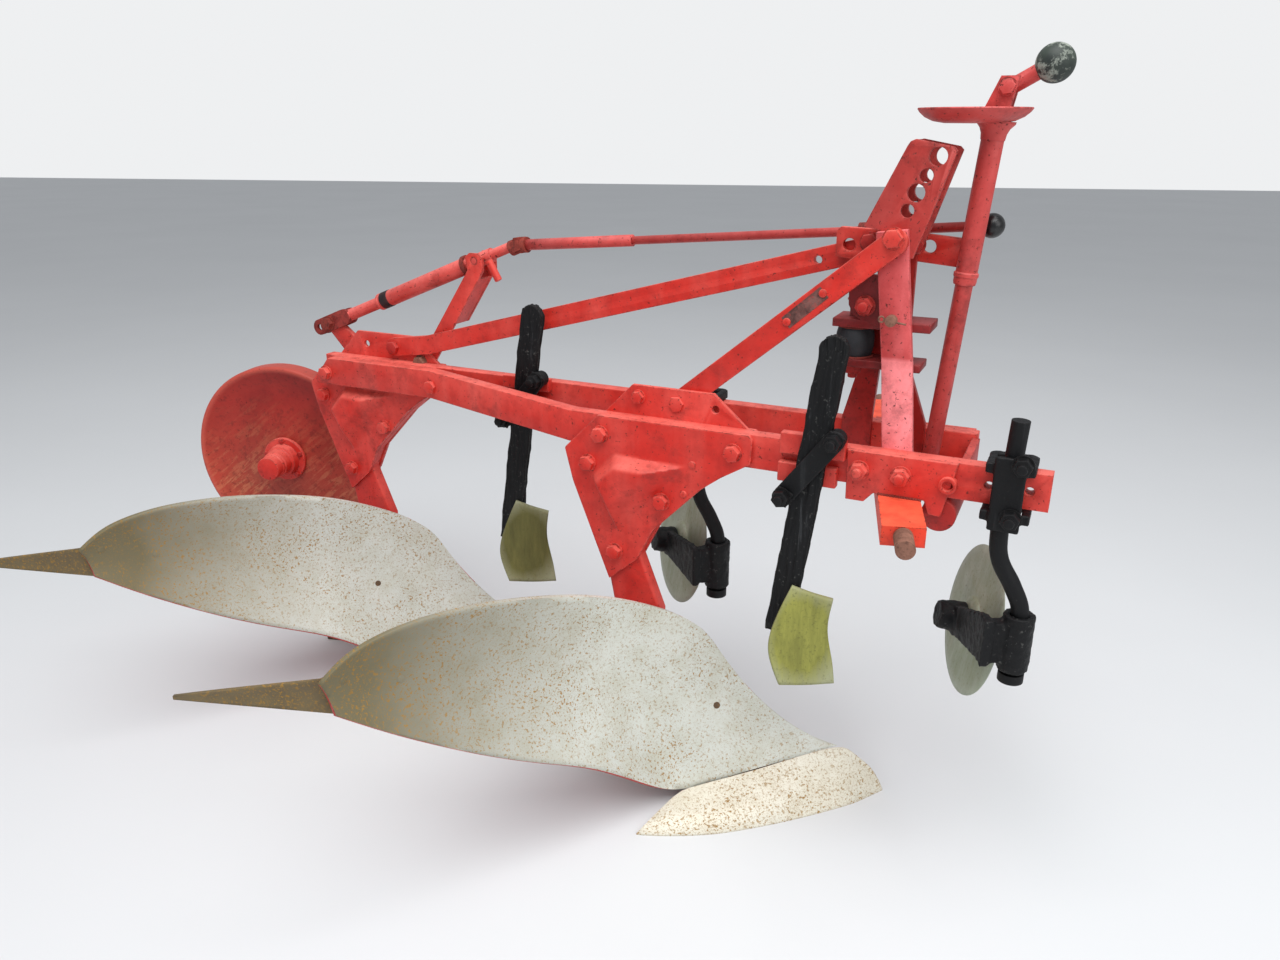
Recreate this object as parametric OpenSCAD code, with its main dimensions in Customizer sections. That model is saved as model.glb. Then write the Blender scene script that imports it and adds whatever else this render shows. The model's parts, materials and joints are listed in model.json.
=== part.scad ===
// Two-furrow mounted moldboard plough, full size, millimetres.
// +X is the direction of travel, +Y the land side, +Z up; the shares and landsides stand on Z = 0.
// The soil is turned towards -Y. The beams run askew to the travel, their rear ends towards the land side.

/* [Beams] */
// Height of both flat beams
beam_h = 56; // [48:1:64]
// Thickness of the beams and of the legs between their plates
beam_t = 26; // [20:1:30]
// Height of the beams' top edge above the soles of the shares
beam_top = 716; // [690:1:740]
// Angle between the beams and the direction of travel
beam_yaw = 14.7; // [12:0.1:17]
// Front end of the near beam, along the beams
near_front = 212; // [195:1:225]
// Front end of the far beam, along the beams
far_front = 90; // [86:1:94]
// Rear end of both beams, along the beams
beam_rear = -1268; // [-1280:1:-1262]
// Start of the near beam's bend, along the beams
bend_start = -573; // [-578:1:-571]
// End of the near beam's bend, along the beams
bend_end = -968; // [-975:1:-955]
// Bore of the open holes in the near beam's front end
beam_hole_d = 13; // [11:0.5:16]

/* [Bodies] */
// Furrow width, from body to body across the travel
furrow = 340; // [325:1:350]
// Distance from body to body along the travel
body_pitch = 670; // [655:1:690]
// Thickness of the plates that clasp each leg
plate_t = 8; // [6:0.5:9]
// Height of the pressed dome in the near plate
dome_h = 20; // [12:1:26]
// Thickness of the moldboards
board_t = 7; // [5:0.5:8]
// Thickness of the shares at their rear seam
share_t = 12; // [9:0.5:14]
// Gap at the seam between share and moldboard
seam_gap = 0.6; // [0.4:0.1:1.2]
// Height of the landsides
land_h = 92; // [80:1:100]
// Thickness of the landsides
land_t = 12; // [9:0.5:14]
// Rear end of the front landside
land_rear_1 = -560; // [-600:1:-530]
// Rear end of the rear landside, from its own share point
land_rear_2 = -640; // [-680:1:-600]
// Height of the ledge on which each leg stands
frog_h = 112; // [104:1:118]

/* [Skimmers] */
// Width of a skimmer stalk
stalk_w = 43; // [40:1:46]
// Thickness of a skimmer stalk
stalk_t = 14; // [10:1:16]
// Thickness of a skimmer blade
blade_t = 6; // [4:0.5:8]

/* [Coulters] */
// Diameter of a coulter disc
disc_d = 252; // [236:2:254]
// Thickness of a coulter disc
disc_t = 5; // [4:0.5:6]
// Diameter of a coulter stem
stem_d = 26; // [22:1:28]
// Outer diameter of the barrel that swivels on a stem
barrel_d = 46; // [42:1:52]
// Height of that barrel
barrel_h = 92; // [84:1:98]
// Distance from the barrel to the disc axle
coulter_trail = 150; // [148:1:156]
// Swivel of the front coulter from trailing straight behind, as parked
swivel_1 = -82; // [-86:1:-76]
// Swivel of the rear coulter from trailing straight behind, as parked
swivel_2 = -62; // [-68:1:-56]
// Running clearance of the moving parts on their pins
run_clear = 0.5; // [0.3:0.1:0.8]

/* [Headstock] */
// Outer width of the mast head channel
head_w = 66; // [58:1:72]
// Wall of the mast head channel
head_wall = 8; // [6:0.5:10]
// Bore of the two large top link holes
top_bore_2 = 25.5; // [25:0.1:26]
// Bore of the two small top link holes
top_bore_1 = 19.5; // [19:0.1:20]
// Width of the flat bars of the mast
mast_w = 46; // [42:1:50]
// Thickness of the flat bars of the mast and of the stays
bar_t = 12; // [8:1:13]
// Width of the front and rear stays
stay_w = 38; // [34:1:40]
// Diameter of the lower link pins
link_pin_d = 28; // [26:0.5:30]
// Visible length of the lower link pins
link_pin_len = 48; // [44:1:60]
// Distance between the two lower link shoulders
link_span = 683; // [640:1:720]
// Width of the cross shaft's flat end blocks
cross_w = 62; // [54:1:66]
// Height of the cross shaft's flat end blocks
cross_h = 30; // [28:1:34]
// Diameter of the tube between the two cross brackets
pivot_d = 52; // [46:1:54]
// Diameter of the rubber buffer
buffer_d = 56; // [52:1:60]

/* [Width crank] */
// Outer diameter of the crank tube
crank_d = 32; // [28:1:34]
// Diameter of the dish under the crank handle
dish_d = 158; // [150:2:166]
// Diameter of the handle's ball
ball_d = 52; // [44:1:56]

/* [Depth wheel] */
// Outer radius of the depth wheel
wheel_r = 226; // [220:1:232]
// Width of the depth wheel's rim
rim_w = 48; // [40:1:56]
// Sheet thickness of the depth wheel
wheel_t = 6; // [4:0.5:8]
// Diameter of the wheel hub
hub_d = 62; // [54:1:70]
// Diameter of the stub axle
axle_d = 30; // [26:1:34]
// Diameter of the depth screw's tube
screw_tube_d = 34; // [32:1:38]
// Diameter of the rod inside that tube
screw_rod_d = 25; // [22:1:27]
// Diameter of the long turning rod
turn_rod_d = 15; // [14:1:18]

/* [Hidden] */
$fn = 48;

// The plough's centre over its footprint is the origin.
centre = [-785, 39];
// Body to body, along and across the beams
sb = sin(beam_yaw);
cb = cos(beam_yaw);
step_u = -body_pitch * cb - furrow * sb;
step_v = -body_pitch * sb + furrow * cb;
// Near face of the near beam
near_v = -155;
near_v2 = near_v + step_v - plate_t - beam_t;
far_v = near_v + step_v;
beam_bot = beam_top - beam_h;
beam_mid = beam_top - beam_h / 2;

function lerp(a, b, t) = a + (b - a) * t;
function unit(v) = v / norm(v);
// A point of the beams' own frame in the travel frame
function xy(u, v) = [u * cb + v * sb, -u * sb + v * cb];
// A smooth curve through a row of values at place s, counted in rows
function crom(p, s) =
    let (n = len(p) - 1, i = min(max(floor(s), 0), n - 1), t = s - i,
        p0 = i > 0 ? p[i - 1] : 2 * p[0] - p[1], p3 = i + 2 <= n ? p[i + 2] : 2 * p[n] - p[n - 1])
    0.5 * (2 * p[i] + (p[i + 1] - p0) * t + (2 * p0 - 5 * p[i] + 4 * p[i + 1] - p3) * t * t
        + (3 * p[i] - p0 - 3 * p[i + 1] + p3) * t * t * t);

module place() {
    translate([-centre[0], -centre[1], 0])
        children();
}

// Draws children in the frame of the beams: X along them, Y across, near side negative
module along_beam() {
    place()
        rotate([0, 0, -beam_yaw])
            children();
}

// Draws children at the rear body
module at_rear_body() {
    translate([-body_pitch, furrow, 0])
        children();
}

// An outline in the beams' upright plane, from v to v + t
module upright(v, t) {
    translate([0, v + t, 0])
        rotate([90, 0, 0])
            linear_extrude(t)
                children();
}

// A round bar between two points
module rod(a, b, d, fn = 32) {
    w = b - a;
    translate(a)
        rotate([0, acos(w[2] / norm(w)), atan2(w[1], w[0])])
            cylinder(d = d, h = norm(w), $fn = fn);
}

// A bore across the beams
module cross_bore(u, z, d, v, t) {
    translate([u, v + t + 1, z])
        rotate([90, 0, 0])
            cylinder(d = d, h = t + 2, $fn = 40);
}

// A closed sheet of thickness t on a grid of points, towards the grid's own normal
module sheet(g, t) {
    n = len(g) - 1;
    m = len(g[0]) - 1;
    w = m + 1;
    nrm = [for (i = [0:n]) [for (j = [0:m])
        unit(cross(g[min(i + 1, n)][j] - g[max(i - 1, 0)][j], g[i][min(j + 1, m)] - g[i][max(j - 1, 0)]))]];
    pts = concat([for (i = [0:n]) for (j = [0:m]) g[i][j]],
        [for (i = [0:n]) for (j = [0:m]) g[i][j] + t * nrm[i][j]]);
    o = (n + 1) * w;
    polyhedron(points = pts, faces = concat(
        [for (i = [0:n - 1]) for (j = [0:m - 1]) for (k = [0, 1]) k == 0
            ? [i * w + j, (i + 1) * w + j, (i + 1) * w + j + 1]
            : [i * w + j, (i + 1) * w + j + 1, i * w + j + 1]],
        [for (i = [0:n - 1]) for (j = [0:m - 1]) for (k = [0, 1]) k == 0
            ? [o + i * w + j, o + (i + 1) * w + j + 1, o + (i + 1) * w + j]
            : [o + i * w + j, o + i * w + j + 1, o + (i + 1) * w + j + 1]],
        [for (i = [0:n - 1]) for (k = [0, 1]) k == 0
            ? [i * w, o + i * w, o + (i + 1) * w] : [i * w, o + (i + 1) * w, (i + 1) * w]],
        [for (i = [0:n - 1]) for (k = [0, 1]) k == 0
            ? [i * w + m, (i + 1) * w + m, o + (i + 1) * w + m]
            : [i * w + m, o + (i + 1) * w + m, o + i * w + m]],
        [for (j = [0:m - 1]) for (k = [0, 1]) k == 0
            ? [j, j + 1, o + j + 1] : [j, o + j + 1, o + j]],
        [for (j = [0:m - 1]) for (k = [0, 1]) k == 0
            ? [n * w + j, o + n * w + j, o + n * w + j + 1]
            : [n * w + j, o + n * w + j + 1, n * w + j + 1]]));
}

// Moldboard stations from shin to tail: top edge, bottom edge, and how far the middle bows back
B_TOP = 0;
B_BOT = 1;
B_BOW = 2;
BOARD = [
    [[-340, -6, 305], [-90, -6, 90], [-6, 2, -42]],
    [[-388, -33, 350], [-183, -38, 67.5], [-20, 15, -32]],
    [[-450, -82, 392], [-280, -72, 44.5], [-22, 24, -24]],
    [[-511, -138, 427], [-377, -106, 22], [-20, 36, -12]],
    [[-575, -204, 454], [-437, -162, 76], [-18, 42, -4]],
    [[-642, -272, 473], [-507, -222, 140], [-15, 44, 0]],
    [[-705, -338, 482], [-585, -290, 190], [-12, 40, 3]],
    [[-757, -394, 481], [-664, -348, 238], [-10, 32, 4]],
    [[-806, -450, 466], [-757, -420, 310], [-7, 20, 2]],
    [[-838, -489, 432], [-826, -478, 376], [-3, 6, 0]]];
BOARD_END = len(BOARD) - 1;
function board_row(k) = [for (r = BOARD) r[k]];
// The soil face at station a, from the bottom edge 0 to the top edge 1
function board_pt(a, b) =
    let (top = crom(board_row(B_TOP), a), bot = crom(board_row(B_BOT), a) + [0, 0, seam_gap],
        bow = crom(board_row(B_BOW), a))
    lerp(bot, top, b) + 4 * b * (1 - b) * bow;
// Unit vector towards the back of the board
function board_back(a, b) = unit(cross(board_pt(a + 0.1, b) - board_pt(a - 0.1, b),
    board_pt(a, b + 0.05) - board_pt(a, b - 0.05)));
function board_rear_pt(a, b, gap) = board_pt(a, b) + (board_t + gap) * board_back(a, b);

// Share stations from the point to the wing: cutting edge and rear seam
SHARE = [
    [[0, -3, 0], [-19, -3, 43]],
    [[-30, -30, 0], [-56, -4, 73]],
    [[-64, -59, 0], [-90, -6, 89]],
    [[-164, -119, 0], [-183, -38, 66.5]],
    [[-250, -162, 0], [-232, -56, 54]],
    [[-313, -187, 0], [-290, -76, 41]],
    [[-393, -205, 0], [-338, -92, 30]],
    [[-434, -209, 0], [-377, -106, 21]]];
SHARE_END = len(SHARE) - 1;
function share_row(k) = [for (r = SHARE) r[k]];
function share_edge(s) = crom(share_row(0), s);
function share_seam(s) = crom(share_row(1), s);

// Outline of the plates that clasp a leg, along the beams and up
PLATE = [[-513, 0], [-578, -66], [-563, -126], [-493, -304], [-438, -256], [-408, -196],
    [-320, -105], [-284, -78], [-235, -48], [-233, -8], [-240, 0]];

module near_beam_plan() {
    t = beam_t;
    slope = atan2(near_v2 - near_v, bend_start - bend_end);
    k = t * tan(slope / 2);
    polygon([[near_front, near_v], [bend_start, near_v], [bend_end, near_v2], [beam_rear, near_v2],
        [beam_rear, near_v2 + t], [bend_end + k, near_v2 + t], [bend_start + k, near_v + t],
        [near_front, near_v + t]]);
}

module near_beam() {
    color("#c8402f")
        along_beam()
            difference() {
                translate([0, 0, beam_bot])
                    linear_extrude(beam_h)
                        near_beam_plan();
                upright(near_v2 - 1, beam_t + 2)
                    polygon([[beam_rear - 1, beam_bot + 12], [beam_rear - 1, beam_top + 1],
                        [beam_rear + 36, beam_top + 1]]);
                for (u = [128, 184])
                    cross_bore(u, beam_mid, beam_hole_d, near_v, beam_t);
            }
}

module far_beam() {
    color("#c8402f")
        along_beam()
            difference() {
                translate([beam_rear, far_v, beam_bot])
                    cube([far_front - beam_rear, beam_t, beam_h]);
                upright(far_v - 1, beam_t + 2)
                    polygon([[far_front + 1, beam_bot - 1], [far_front + 1, beam_bot + 26],
                        [far_front - 20, beam_bot - 1]]);
            }
}

// Flat cross piece that ties the two beams ahead of the mast
module beam_brace() {
    color("#b93a2c")
        along_beam()
            translate([82, near_v + beam_t, beam_bot + 6])
                cube([bar_t, far_v - near_v - beam_t, beam_h - 12]);
}

// Plates on the outer faces of both beams that hold the cross shaft
module cross_bracket() {
    color("#c8402f")
        along_beam()
            for (q = [[near_v - plate_t, -24], [far_v + beam_t, -8]])
                upright(q[0], plate_t)
                    polygon([[-80, beam_top], [84, beam_top], [66, beam_bot - 30], [48, beam_bot - 28],
                        [40, beam_bot - 8], [-36, beam_bot - 8],
                        [-50, beam_bot + q[1]], [-78, beam_bot + q[1]]]);
}

// Lower link shaft: a bar under both beams, a flat block and a pin at each end
link_x = -38;
link_y1 = -275;
link_y2 = link_y1 + link_span;
link_z = beam_bot - 8.3 - cross_h / 2;
module cross_shaft() {
    color("#cf4630")
        place() {
            translate([link_x - cross_w / 2, link_y1, link_z - cross_h / 2])
                cube([cross_w, link_span, cross_h]);
            for (s = [[link_y1 - link_pin_len, link_pin_len], [link_y2, link_pin_len]])
                translate([link_x, s[0], link_z])
                    rotate([-90, 0, 0])
                        cylinder(d = link_pin_d, h = s[1]);
        }
}

// Tube between the lugs of the cross brackets, which the width crank turns
module pivot_tube() {
    color("#8e2a1e")
        along_beam() {
            translate([62, near_v, beam_bot - 30])
                rotate([-90, 0, 0])
                    cylinder(d = pivot_d, h = far_v + beam_t - near_v);
            translate([36, crank_v, beam_bot - 36])
                cylinder(d = crank_d + 4, h = 37.5);
        }
}

// Mast: levels and places shared by its pieces, along the beams
head_v = -64;
mast_knee = 846;
mast_top = 1040;
// The mast leans back: centre of its near bar at height z
function mast_c(z) = -14 - 0.1265 * (z - 727);
bar_v1 = head_v - head_w / 2 - bar_t;
bar_v2 = head_v + head_w / 2;

// Near bar of the mast: from the inside of the near beam, leaning in, then upright
module mast_near_bar() {
    color("#d2604f")
        along_beam() {
            v0 = near_v + beam_t;
            translate([mast_c(727), 0, 727])
                rotate([0, -7.2, 0])
                    translate([-mast_w / 2, 0, -727])
                        rotate([90, 0, 90])
                            linear_extrude(mast_w)
                                polygon([[v0, beam_bot + 6], [v0, beam_top + 4],
                                    [bar_v1, mast_knee], [bar_v1, mast_top],
                                    [bar_v1 + bar_t, mast_top], [bar_v1 + bar_t, mast_knee - 2],
                                    [v0 + bar_t, beam_top + 2], [v0 + bar_t, beam_bot + 6]]);
        }
}

// Far side of the mast: two bars that spread fore and aft down to the far beam
module mast_far_frame() {
    color("#a8321f")
        along_beam() {
            foot = far_v - bar_t;
            z1 = 830;
            for (s = [[-128, 49, -98, 30], [-22, 30, -54, 28]]) {
                translate([s[0], foot, beam_bot + 8])
                    cube([s[1], bar_t, beam_h]);
                hull() {
                    translate([s[0], foot, beam_top + 7])
                        cube([s[1], bar_t, 1]);
                    translate([s[2], bar_v2, z1])
                        cube([s[3], bar_t, 1]);
                }
            }
            upright(bar_v2, bar_t)
                polygon([[-98, z1], [-26, z1], [-28, mast_top - 4], [-76, mast_top - 4]]);
        }
}

// Channel that takes the top link: a rounded back and two cheeks with four holes
HEAD_HOLES = [[-36, 1065, 1], [-26, 1090, 2], [-14, 1114, 1], [0, 1140, 2]];
module mast_head() {
    color("#d2604f")
        along_beam()
            difference() {
                upright(head_v - head_w / 2, head_w)
                    polygon([[-97, 1041], [-44, 1154], [-40, 1160], [-33, 1163], [20, 1153], [25, 1148],
                        [-5, 1050], [-22, 998], [-70, 998], [-72, 1036]]);
                upright(head_v - head_w / 2 + head_wall, head_w - 2 * head_wall)
                    polygon([[-86, 1046], [-37, 1151], [-30, 1180], [60, 1180],
                        [60, 990], [-10, 990], [-62, 990]]);
                for (h = HEAD_HOLES)
                    cross_bore(h[0], h[1], h[2] == 2 ? top_bore_2 : top_bore_1, head_v - head_w / 2, head_w);
            }
}

// Fore and aft arm beside the head that carries the crank tube, with the eye for the turning rod
arm_face = bar_v2 + 2 * bar_t;
module mast_arm() {
    color("#b93a2c")
        along_beam()
            difference() {
                upright(arm_face - bar_t, bar_t)
                    polygon([[-156, 986], [-156, 1026], [-150, 1032], [-46, 1029],
                        [58, 1020], [58, 977], [-42, 986], [-127, 983]]);
                for (q = [[-135, 1005], [-12, 1008]])
                    cross_bore(q[0], q[1], 20, arm_face - bar_t, bar_t);
            }
}

// A flat bar with round ends, from a to b in the beams' upright plane
module flat_bar(a, b, v, t, w) {
    dir = unit(b - a);
    side = [-dir[1], dir[0]] * (w / 2 - 0.2);
    upright(v, t)
        polygon([a + side, b + side, b - side, a - side]);
    for (e = [a, b])
        translate([e[0], v + t, e[1]])
            rotate([90, 0, 0])
                cylinder(d = w, h = t);
}
// Front stay: from the front leg's inner plate up to the mast head
module front_stay() {
    color("#c8402f")
        along_beam()
            flat_bar([-380, beam_top + 27], [-46, 1022], near_v + beam_t + plate_t, bar_t, stay_w);
}

// Rear stay: from the rear leg's far plate up to the mast arm
module rear_stay() {
    color("#c8402f")
        along_beam() {
            a = [-1093, far_v + beam_t - 5, beam_top + 28];
            k = [-1005, far_v + beam_t - 5, beam_top + 40];
            b = [-100, arm_face + 5.3, 1000];
            difference() {
                for (q = [[a, k], [k, b]])
                    hull()
                        for (e = q)
                            translate(e + [0, 5, 0])
                                rotate([90, 0, 0])
                                    cylinder(d = stay_w, h = 10, $fn = 32);
                cross_bore(-187, 977, 13, arm_face - 6, 22);
            }
        }
}

// Rubber buffer behind the mast, between two plates that sit between the bars
module buffer() {
    color("#1d1c1b")
        along_beam()
            translate([-104, head_v, 840])
                cylinder(d = buffer_d, h = 50);
}
module buffer_bracket() {
    color("#b93a2c")
        along_beam() {
            translate([-134, head_v - head_w / 2 + 0.3, 890])
                cube([148, head_w - 0.6, 13]);
            translate([-104, head_v, 902])
                cylinder(d = 22, h = 26);
            translate([-134, head_v - head_w / 2 + 4, 828])
                cube([138, head_w - 8, 12]);
        }
}

// Width crank: tube, dish, hinged handle
crank_v = arm_face - bar_t - crank_d / 2 - 0.3;
crank_a = [24, crank_v, 663];
crank_b = [64, crank_v, 1183];
crank_dir = unit(crank_b - crank_a);
module crank_tube() {
    color("#a8324a")
        along_beam() {
            rod(crank_a, lerp(crank_a, crank_b, 0.6), crank_d - 6);
            rod(lerp(crank_a, crank_b, 0.58), crank_b, crank_d);
        }
}
module at_crank_top() {
    translate(crank_b)
        rotate([0, acos(crank_dir[2]), atan2(crank_dir[1], crank_dir[0])])
            children();
}
module crank_dish() {
    color("#a8324a")
        along_beam()
            at_crank_top()
                translate([-32, 0, 0])
                    rotate_extrude()
                        polygon([[0, 0.3], [dish_d / 2 - 24, 0.3], [dish_d / 2 - 8, 8], [dish_d / 2, 20],
                            [dish_d / 2 - 5, 20], [dish_d / 2 - 13, 12], [dish_d / 2 - 28, 5.3], [0, 5.3]]);
}
module crank_handle() {
    color("#a8324a")
        along_beam() {
            a = crank_b + [-2, 0, 20];
            at_crank_top()
                translate([-16, -20, 5.6])
                    cube([30, 40, 12]);
            for (q = [-1, 1])
                hull() {
                    translate(a + [-14, q * 15 - 4, -4])
                        cube([34, 8, 4]);
                    translate(a + [4, q * 15 - 4, 38])
                        cube([24, 8, 4]);
                }
            rod(a + [14, -19, 28], a + [14, 19, 28], 12);
            rod(a + [10, 0, 24], a + [52, -4, 48], 22);
            translate(a + [70, -6, 57])
                sphere(d = ball_d, $fn = 40);
        }
}

// Depth screw beyond the far plate of the rear leg: turning rod, joint, post, tube and rod, all at one v
post_v = far_v + beam_t + plate_t;
screw_v = post_v + 26.15;
lever_pin = [-1293, screw_v, 772];
trunnion = [-890, screw_v, 931];
screw_dir = unit(trunnion - lever_pin);
joint_pt = trunnion + 86 * screw_dir;
rod_end = [72, 8, 1040];
turn_dir = unit(rod_end - joint_pt);
pin_d = 16;
// Play all round the lever pin in the screw rod's fork
pin_play = 2.8;
trunnion_d = 14;
module turn_rod() {
    color("#c04a3a")
        along_beam() {
            rod(joint_pt + 32 * turn_dir, lerp(joint_pt, rod_end, 0.3), turn_rod_d + 6, 24);
            rod(lerp(joint_pt, rod_end, 0.3), rod_end, turn_rod_d, 24);
            translate(rod_end)
                sphere(d = 37, $fn = 32);
        }
}
module turn_joint() {
    color("#8e3324")
        along_beam() {
            rod(joint_pt - 8 * turn_dir, joint_pt + 31.7 * turn_dir, 34, 24);
        }
}
// Eye on the mast arm that guides the turning rod
module rod_guide() {
    c = lerp(joint_pt, rod_end, 0.779);
    color("#8e3324")
        along_beam()
            difference() {
                union() {
                    rod(c - 6 * turn_dir, c + 6 * turn_dir, turn_rod_d + 12, 24);
                    translate([c[0] - 7, arm_face, c[2] - 6])
                        cube([14, c[1] - arm_face - turn_rod_d / 2 - 2, 12]);
                }
                rod(c - 12 * turn_dir, c + 12 * turn_dir, turn_rod_d + 1.6, 24);
            }
}
// Channel post bolted to the rear far plate, an ear on each side of the trunnion
module screw_post() {
    ear = 6;
    v2 = 2 * screw_v - post_v - ear;
    EAR = [[-870, 912], [-870, 938], [-880, 946], [-900, 946], [-910, 938], [-906, 912]];
    color("#c8402f")
        along_beam()
            difference() {
                union() {
                    upright(post_v, ear)
                        polygon(concat([[-1061, 690], [-1020, 690]], EAR));
                    upright(v2, ear)
                        polygon(concat([[-984, 800], [-946, 800]], EAR));
                    upright(post_v + ear, v2 - post_v - ear)
                        polygon([[-953.6, 800], [-946.9, 800], [-882, 896], [-888.6, 896]]);
                }
                cross_bore(trunnion[0], trunnion[2], trunnion_d + 2 * run_clear, post_v, v2 + ear - post_v);
            }
}
module screw_tube() {
    half = [0, screw_v - post_v - 0.5, 0];
    color("#b23a30")
        along_beam()
            difference() {
                union() {
                    rod(lever_pin + 150 * screw_dir, trunnion - 36 * screw_dir, screw_tube_d);
                    rod(trunnion - 37 * screw_dir, trunnion + 30 * screw_dir, screw_tube_d - 6);
                    rod(trunnion + 29 * screw_dir, joint_pt - 12 * screw_dir, 20);
                    rod(trunnion - half, trunnion + half, trunnion_d);
                }
                rod(lever_pin + 140 * screw_dir, trunnion - 50 * screw_dir, screw_rod_d + 2 * run_clear);
            }
}
module screw_rod() {
    cheek = 7;
    color("#8e3324")
        along_beam()
            difference() {
                union() {
                    rod(lever_pin + 36 * screw_dir, lever_pin + 300 * screw_dir, screw_rod_d);
                    for (q = [screw_v - 14, screw_v + 7])
                        hull() {
                            translate(lever_pin + [-30 * screw_dir[0], q - screw_v, -30 * screw_dir[2]])
                                rotate([-90, 0, 0])
                                    cylinder(d = 34, h = cheek, $fn = 32);
                            translate(lever_pin + [46 * screw_dir[0], q - screw_v, 46 * screw_dir[2]])
                                rotate([-90, 0, 0])
                                    cylinder(d = 34, h = cheek, $fn = 32);
                        }
                    translate(lever_pin + 46 * screw_dir - [0, 14, 0])
                        rotate([-90, 0, 0])
                            cylinder(d = 30, h = 28, $fn = 32);
                }
                translate(lever_pin - [0, 30, 0])
                    rotate([-90, 0, 0])
                        cylinder(d = pin_d + 2 * pin_play, h = 60);
                translate(lever_pin - [30 * screw_dir[0], 30, 30 * screw_dir[2]])
                    rotate([-90, 0, 0])
                        cylinder(d = 14, h = 60);
            }
}

// Depth wheel: bracket on the far plate, shaft with a lever at v of the screw and an arm beyond the wheel
arm_u = -1200;
arm_z = beam_mid;
shaft_d = 36;
wheel_arm_v = 178;
arm_plate_t = 14;
wheel_x = -1424;
wheel_y = 438;
wheel_z = 425;
stub_y = (wheel_arm_v - sb * wheel_x) / cb;
module depth_bracket() {
    color("#a8321f")
        along_beam()
            difference() {
                union() {
                    for (v = [post_v, post_v + 46])
                        translate([arm_u - 34, v, arm_z - 34])
                            cube([84, 8, 60]);
                    translate([arm_u + 42, post_v, arm_z - 34])
                        cube([8, 50, 60]);
                }
                cross_bore(arm_u, arm_z, shaft_d + 2 * run_clear, post_v, 54);
            }
}
module depth_lever() {
    color("#b23a30")
        along_beam() {
            translate([arm_u, post_v + 0.5, arm_z])
                rotate([-90, 0, 0])
                    cylinder(d = shaft_d, h = wheel_arm_v - post_v - 0.5);
            hull()
                for (q = [[arm_u, arm_z, 58], [lever_pin[0], lever_pin[2], 34]])
                    translate([q[0], screw_v - 6, q[1]])
                        rotate([-90, 0, 0])
                            cylinder(d = q[2], h = 12, $fn = 32);
            translate(lever_pin - [0, 16, 0])
                rotate([-90, 0, 0])
                    cylinder(d = pin_d, h = 32);
        }
}
module depth_arm() {
    e = [cb * wheel_x - sb * stub_y, wheel_arm_v, wheel_z];
    color("#b23a30") {
        along_beam() {
            hull()
                for (q = [[arm_u, arm_z, 64], [e[0], wheel_z, 54]])
                    translate([q[0], wheel_arm_v, q[1]])
                        rotate([-90, 0, 0])
                            cylinder(d = q[2], h = arm_plate_t, $fn = 32);
        }
        place()
            translate([wheel_x, wheel_y - 60, wheel_z])
                rotate([-90, 0, 0])
                    cylinder(d = axle_d, h = stub_y - wheel_y + 60 + arm_plate_t / 2);
    }
}
// Wheel disc: radius, and how far its outer side lies from the hub's flange
DISH = [[hub_d / 2, 0], [wheel_r * 0.33, 2.8], [wheel_r * 0.46, 7.5], [wheel_r * 0.58, 11.5],
    [wheel_r * 0.67, 12.5], [wheel_r * 0.76, 10.5], [wheel_r * 0.85, 5.5], [wheel_r - 20, 0]];
module depth_wheel() {
    color("#c2402c")
        place()
            translate([wheel_x, wheel_y, wheel_z])
                rotate([-90, 0, 0])
                    rotate_extrude($fn = 72)
                        polygon(concat(DISH,
                            [[wheel_r - 8, -6], [wheel_r - 3, -5], [wheel_r, 0], [wheel_r, rim_w - 8],
                                [wheel_r - 3, rim_w - 6], [wheel_r - 6, rim_w - 8],
                                [wheel_r - 6, wheel_t + 2], [wheel_r - 10, wheel_t - 3]],
                            [for (i = [7:-1:0]) DISH[i] + [0, wheel_t]]));
}
module depth_hub() {
    color("#b23426")
        place()
            translate([wheel_x, wheel_y, wheel_z])
                rotate([-90, 0, 0])
                    difference() {
                        rotate_extrude()
                            polygon([[0, -84], [24.5, -84], [27.5, -81], [27.5, -62], [29.5, -60.5],
                                [29.5, -54.5], [31, -53], [31, -31], [37, -28], [37, -13.5], [40, -9],
                                [hub_d / 2 + 21, -8.5], [hub_d / 2 + 22, -7.5], [hub_d / 2 + 22, -0.3],
                                [hub_d / 2 - 0.3, -0.3], [hub_d / 2 - 0.3, 40], [0, 40]]);
                        translate([0, 0, -66])
                            cylinder(d = axle_d + 2 * run_clear, h = 120);
                    }
}

// Leg: stands on the frog and ends under the beam, between its two plates
module leg() {
    upright(near_v, beam_t)
        polygon([[-545, beam_bot - 1], [-487, 358], [-470, frog_h], [-400, frog_h], [-402, 363],
            [-380, 480], [-270, beam_bot - 1]]);
}
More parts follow.
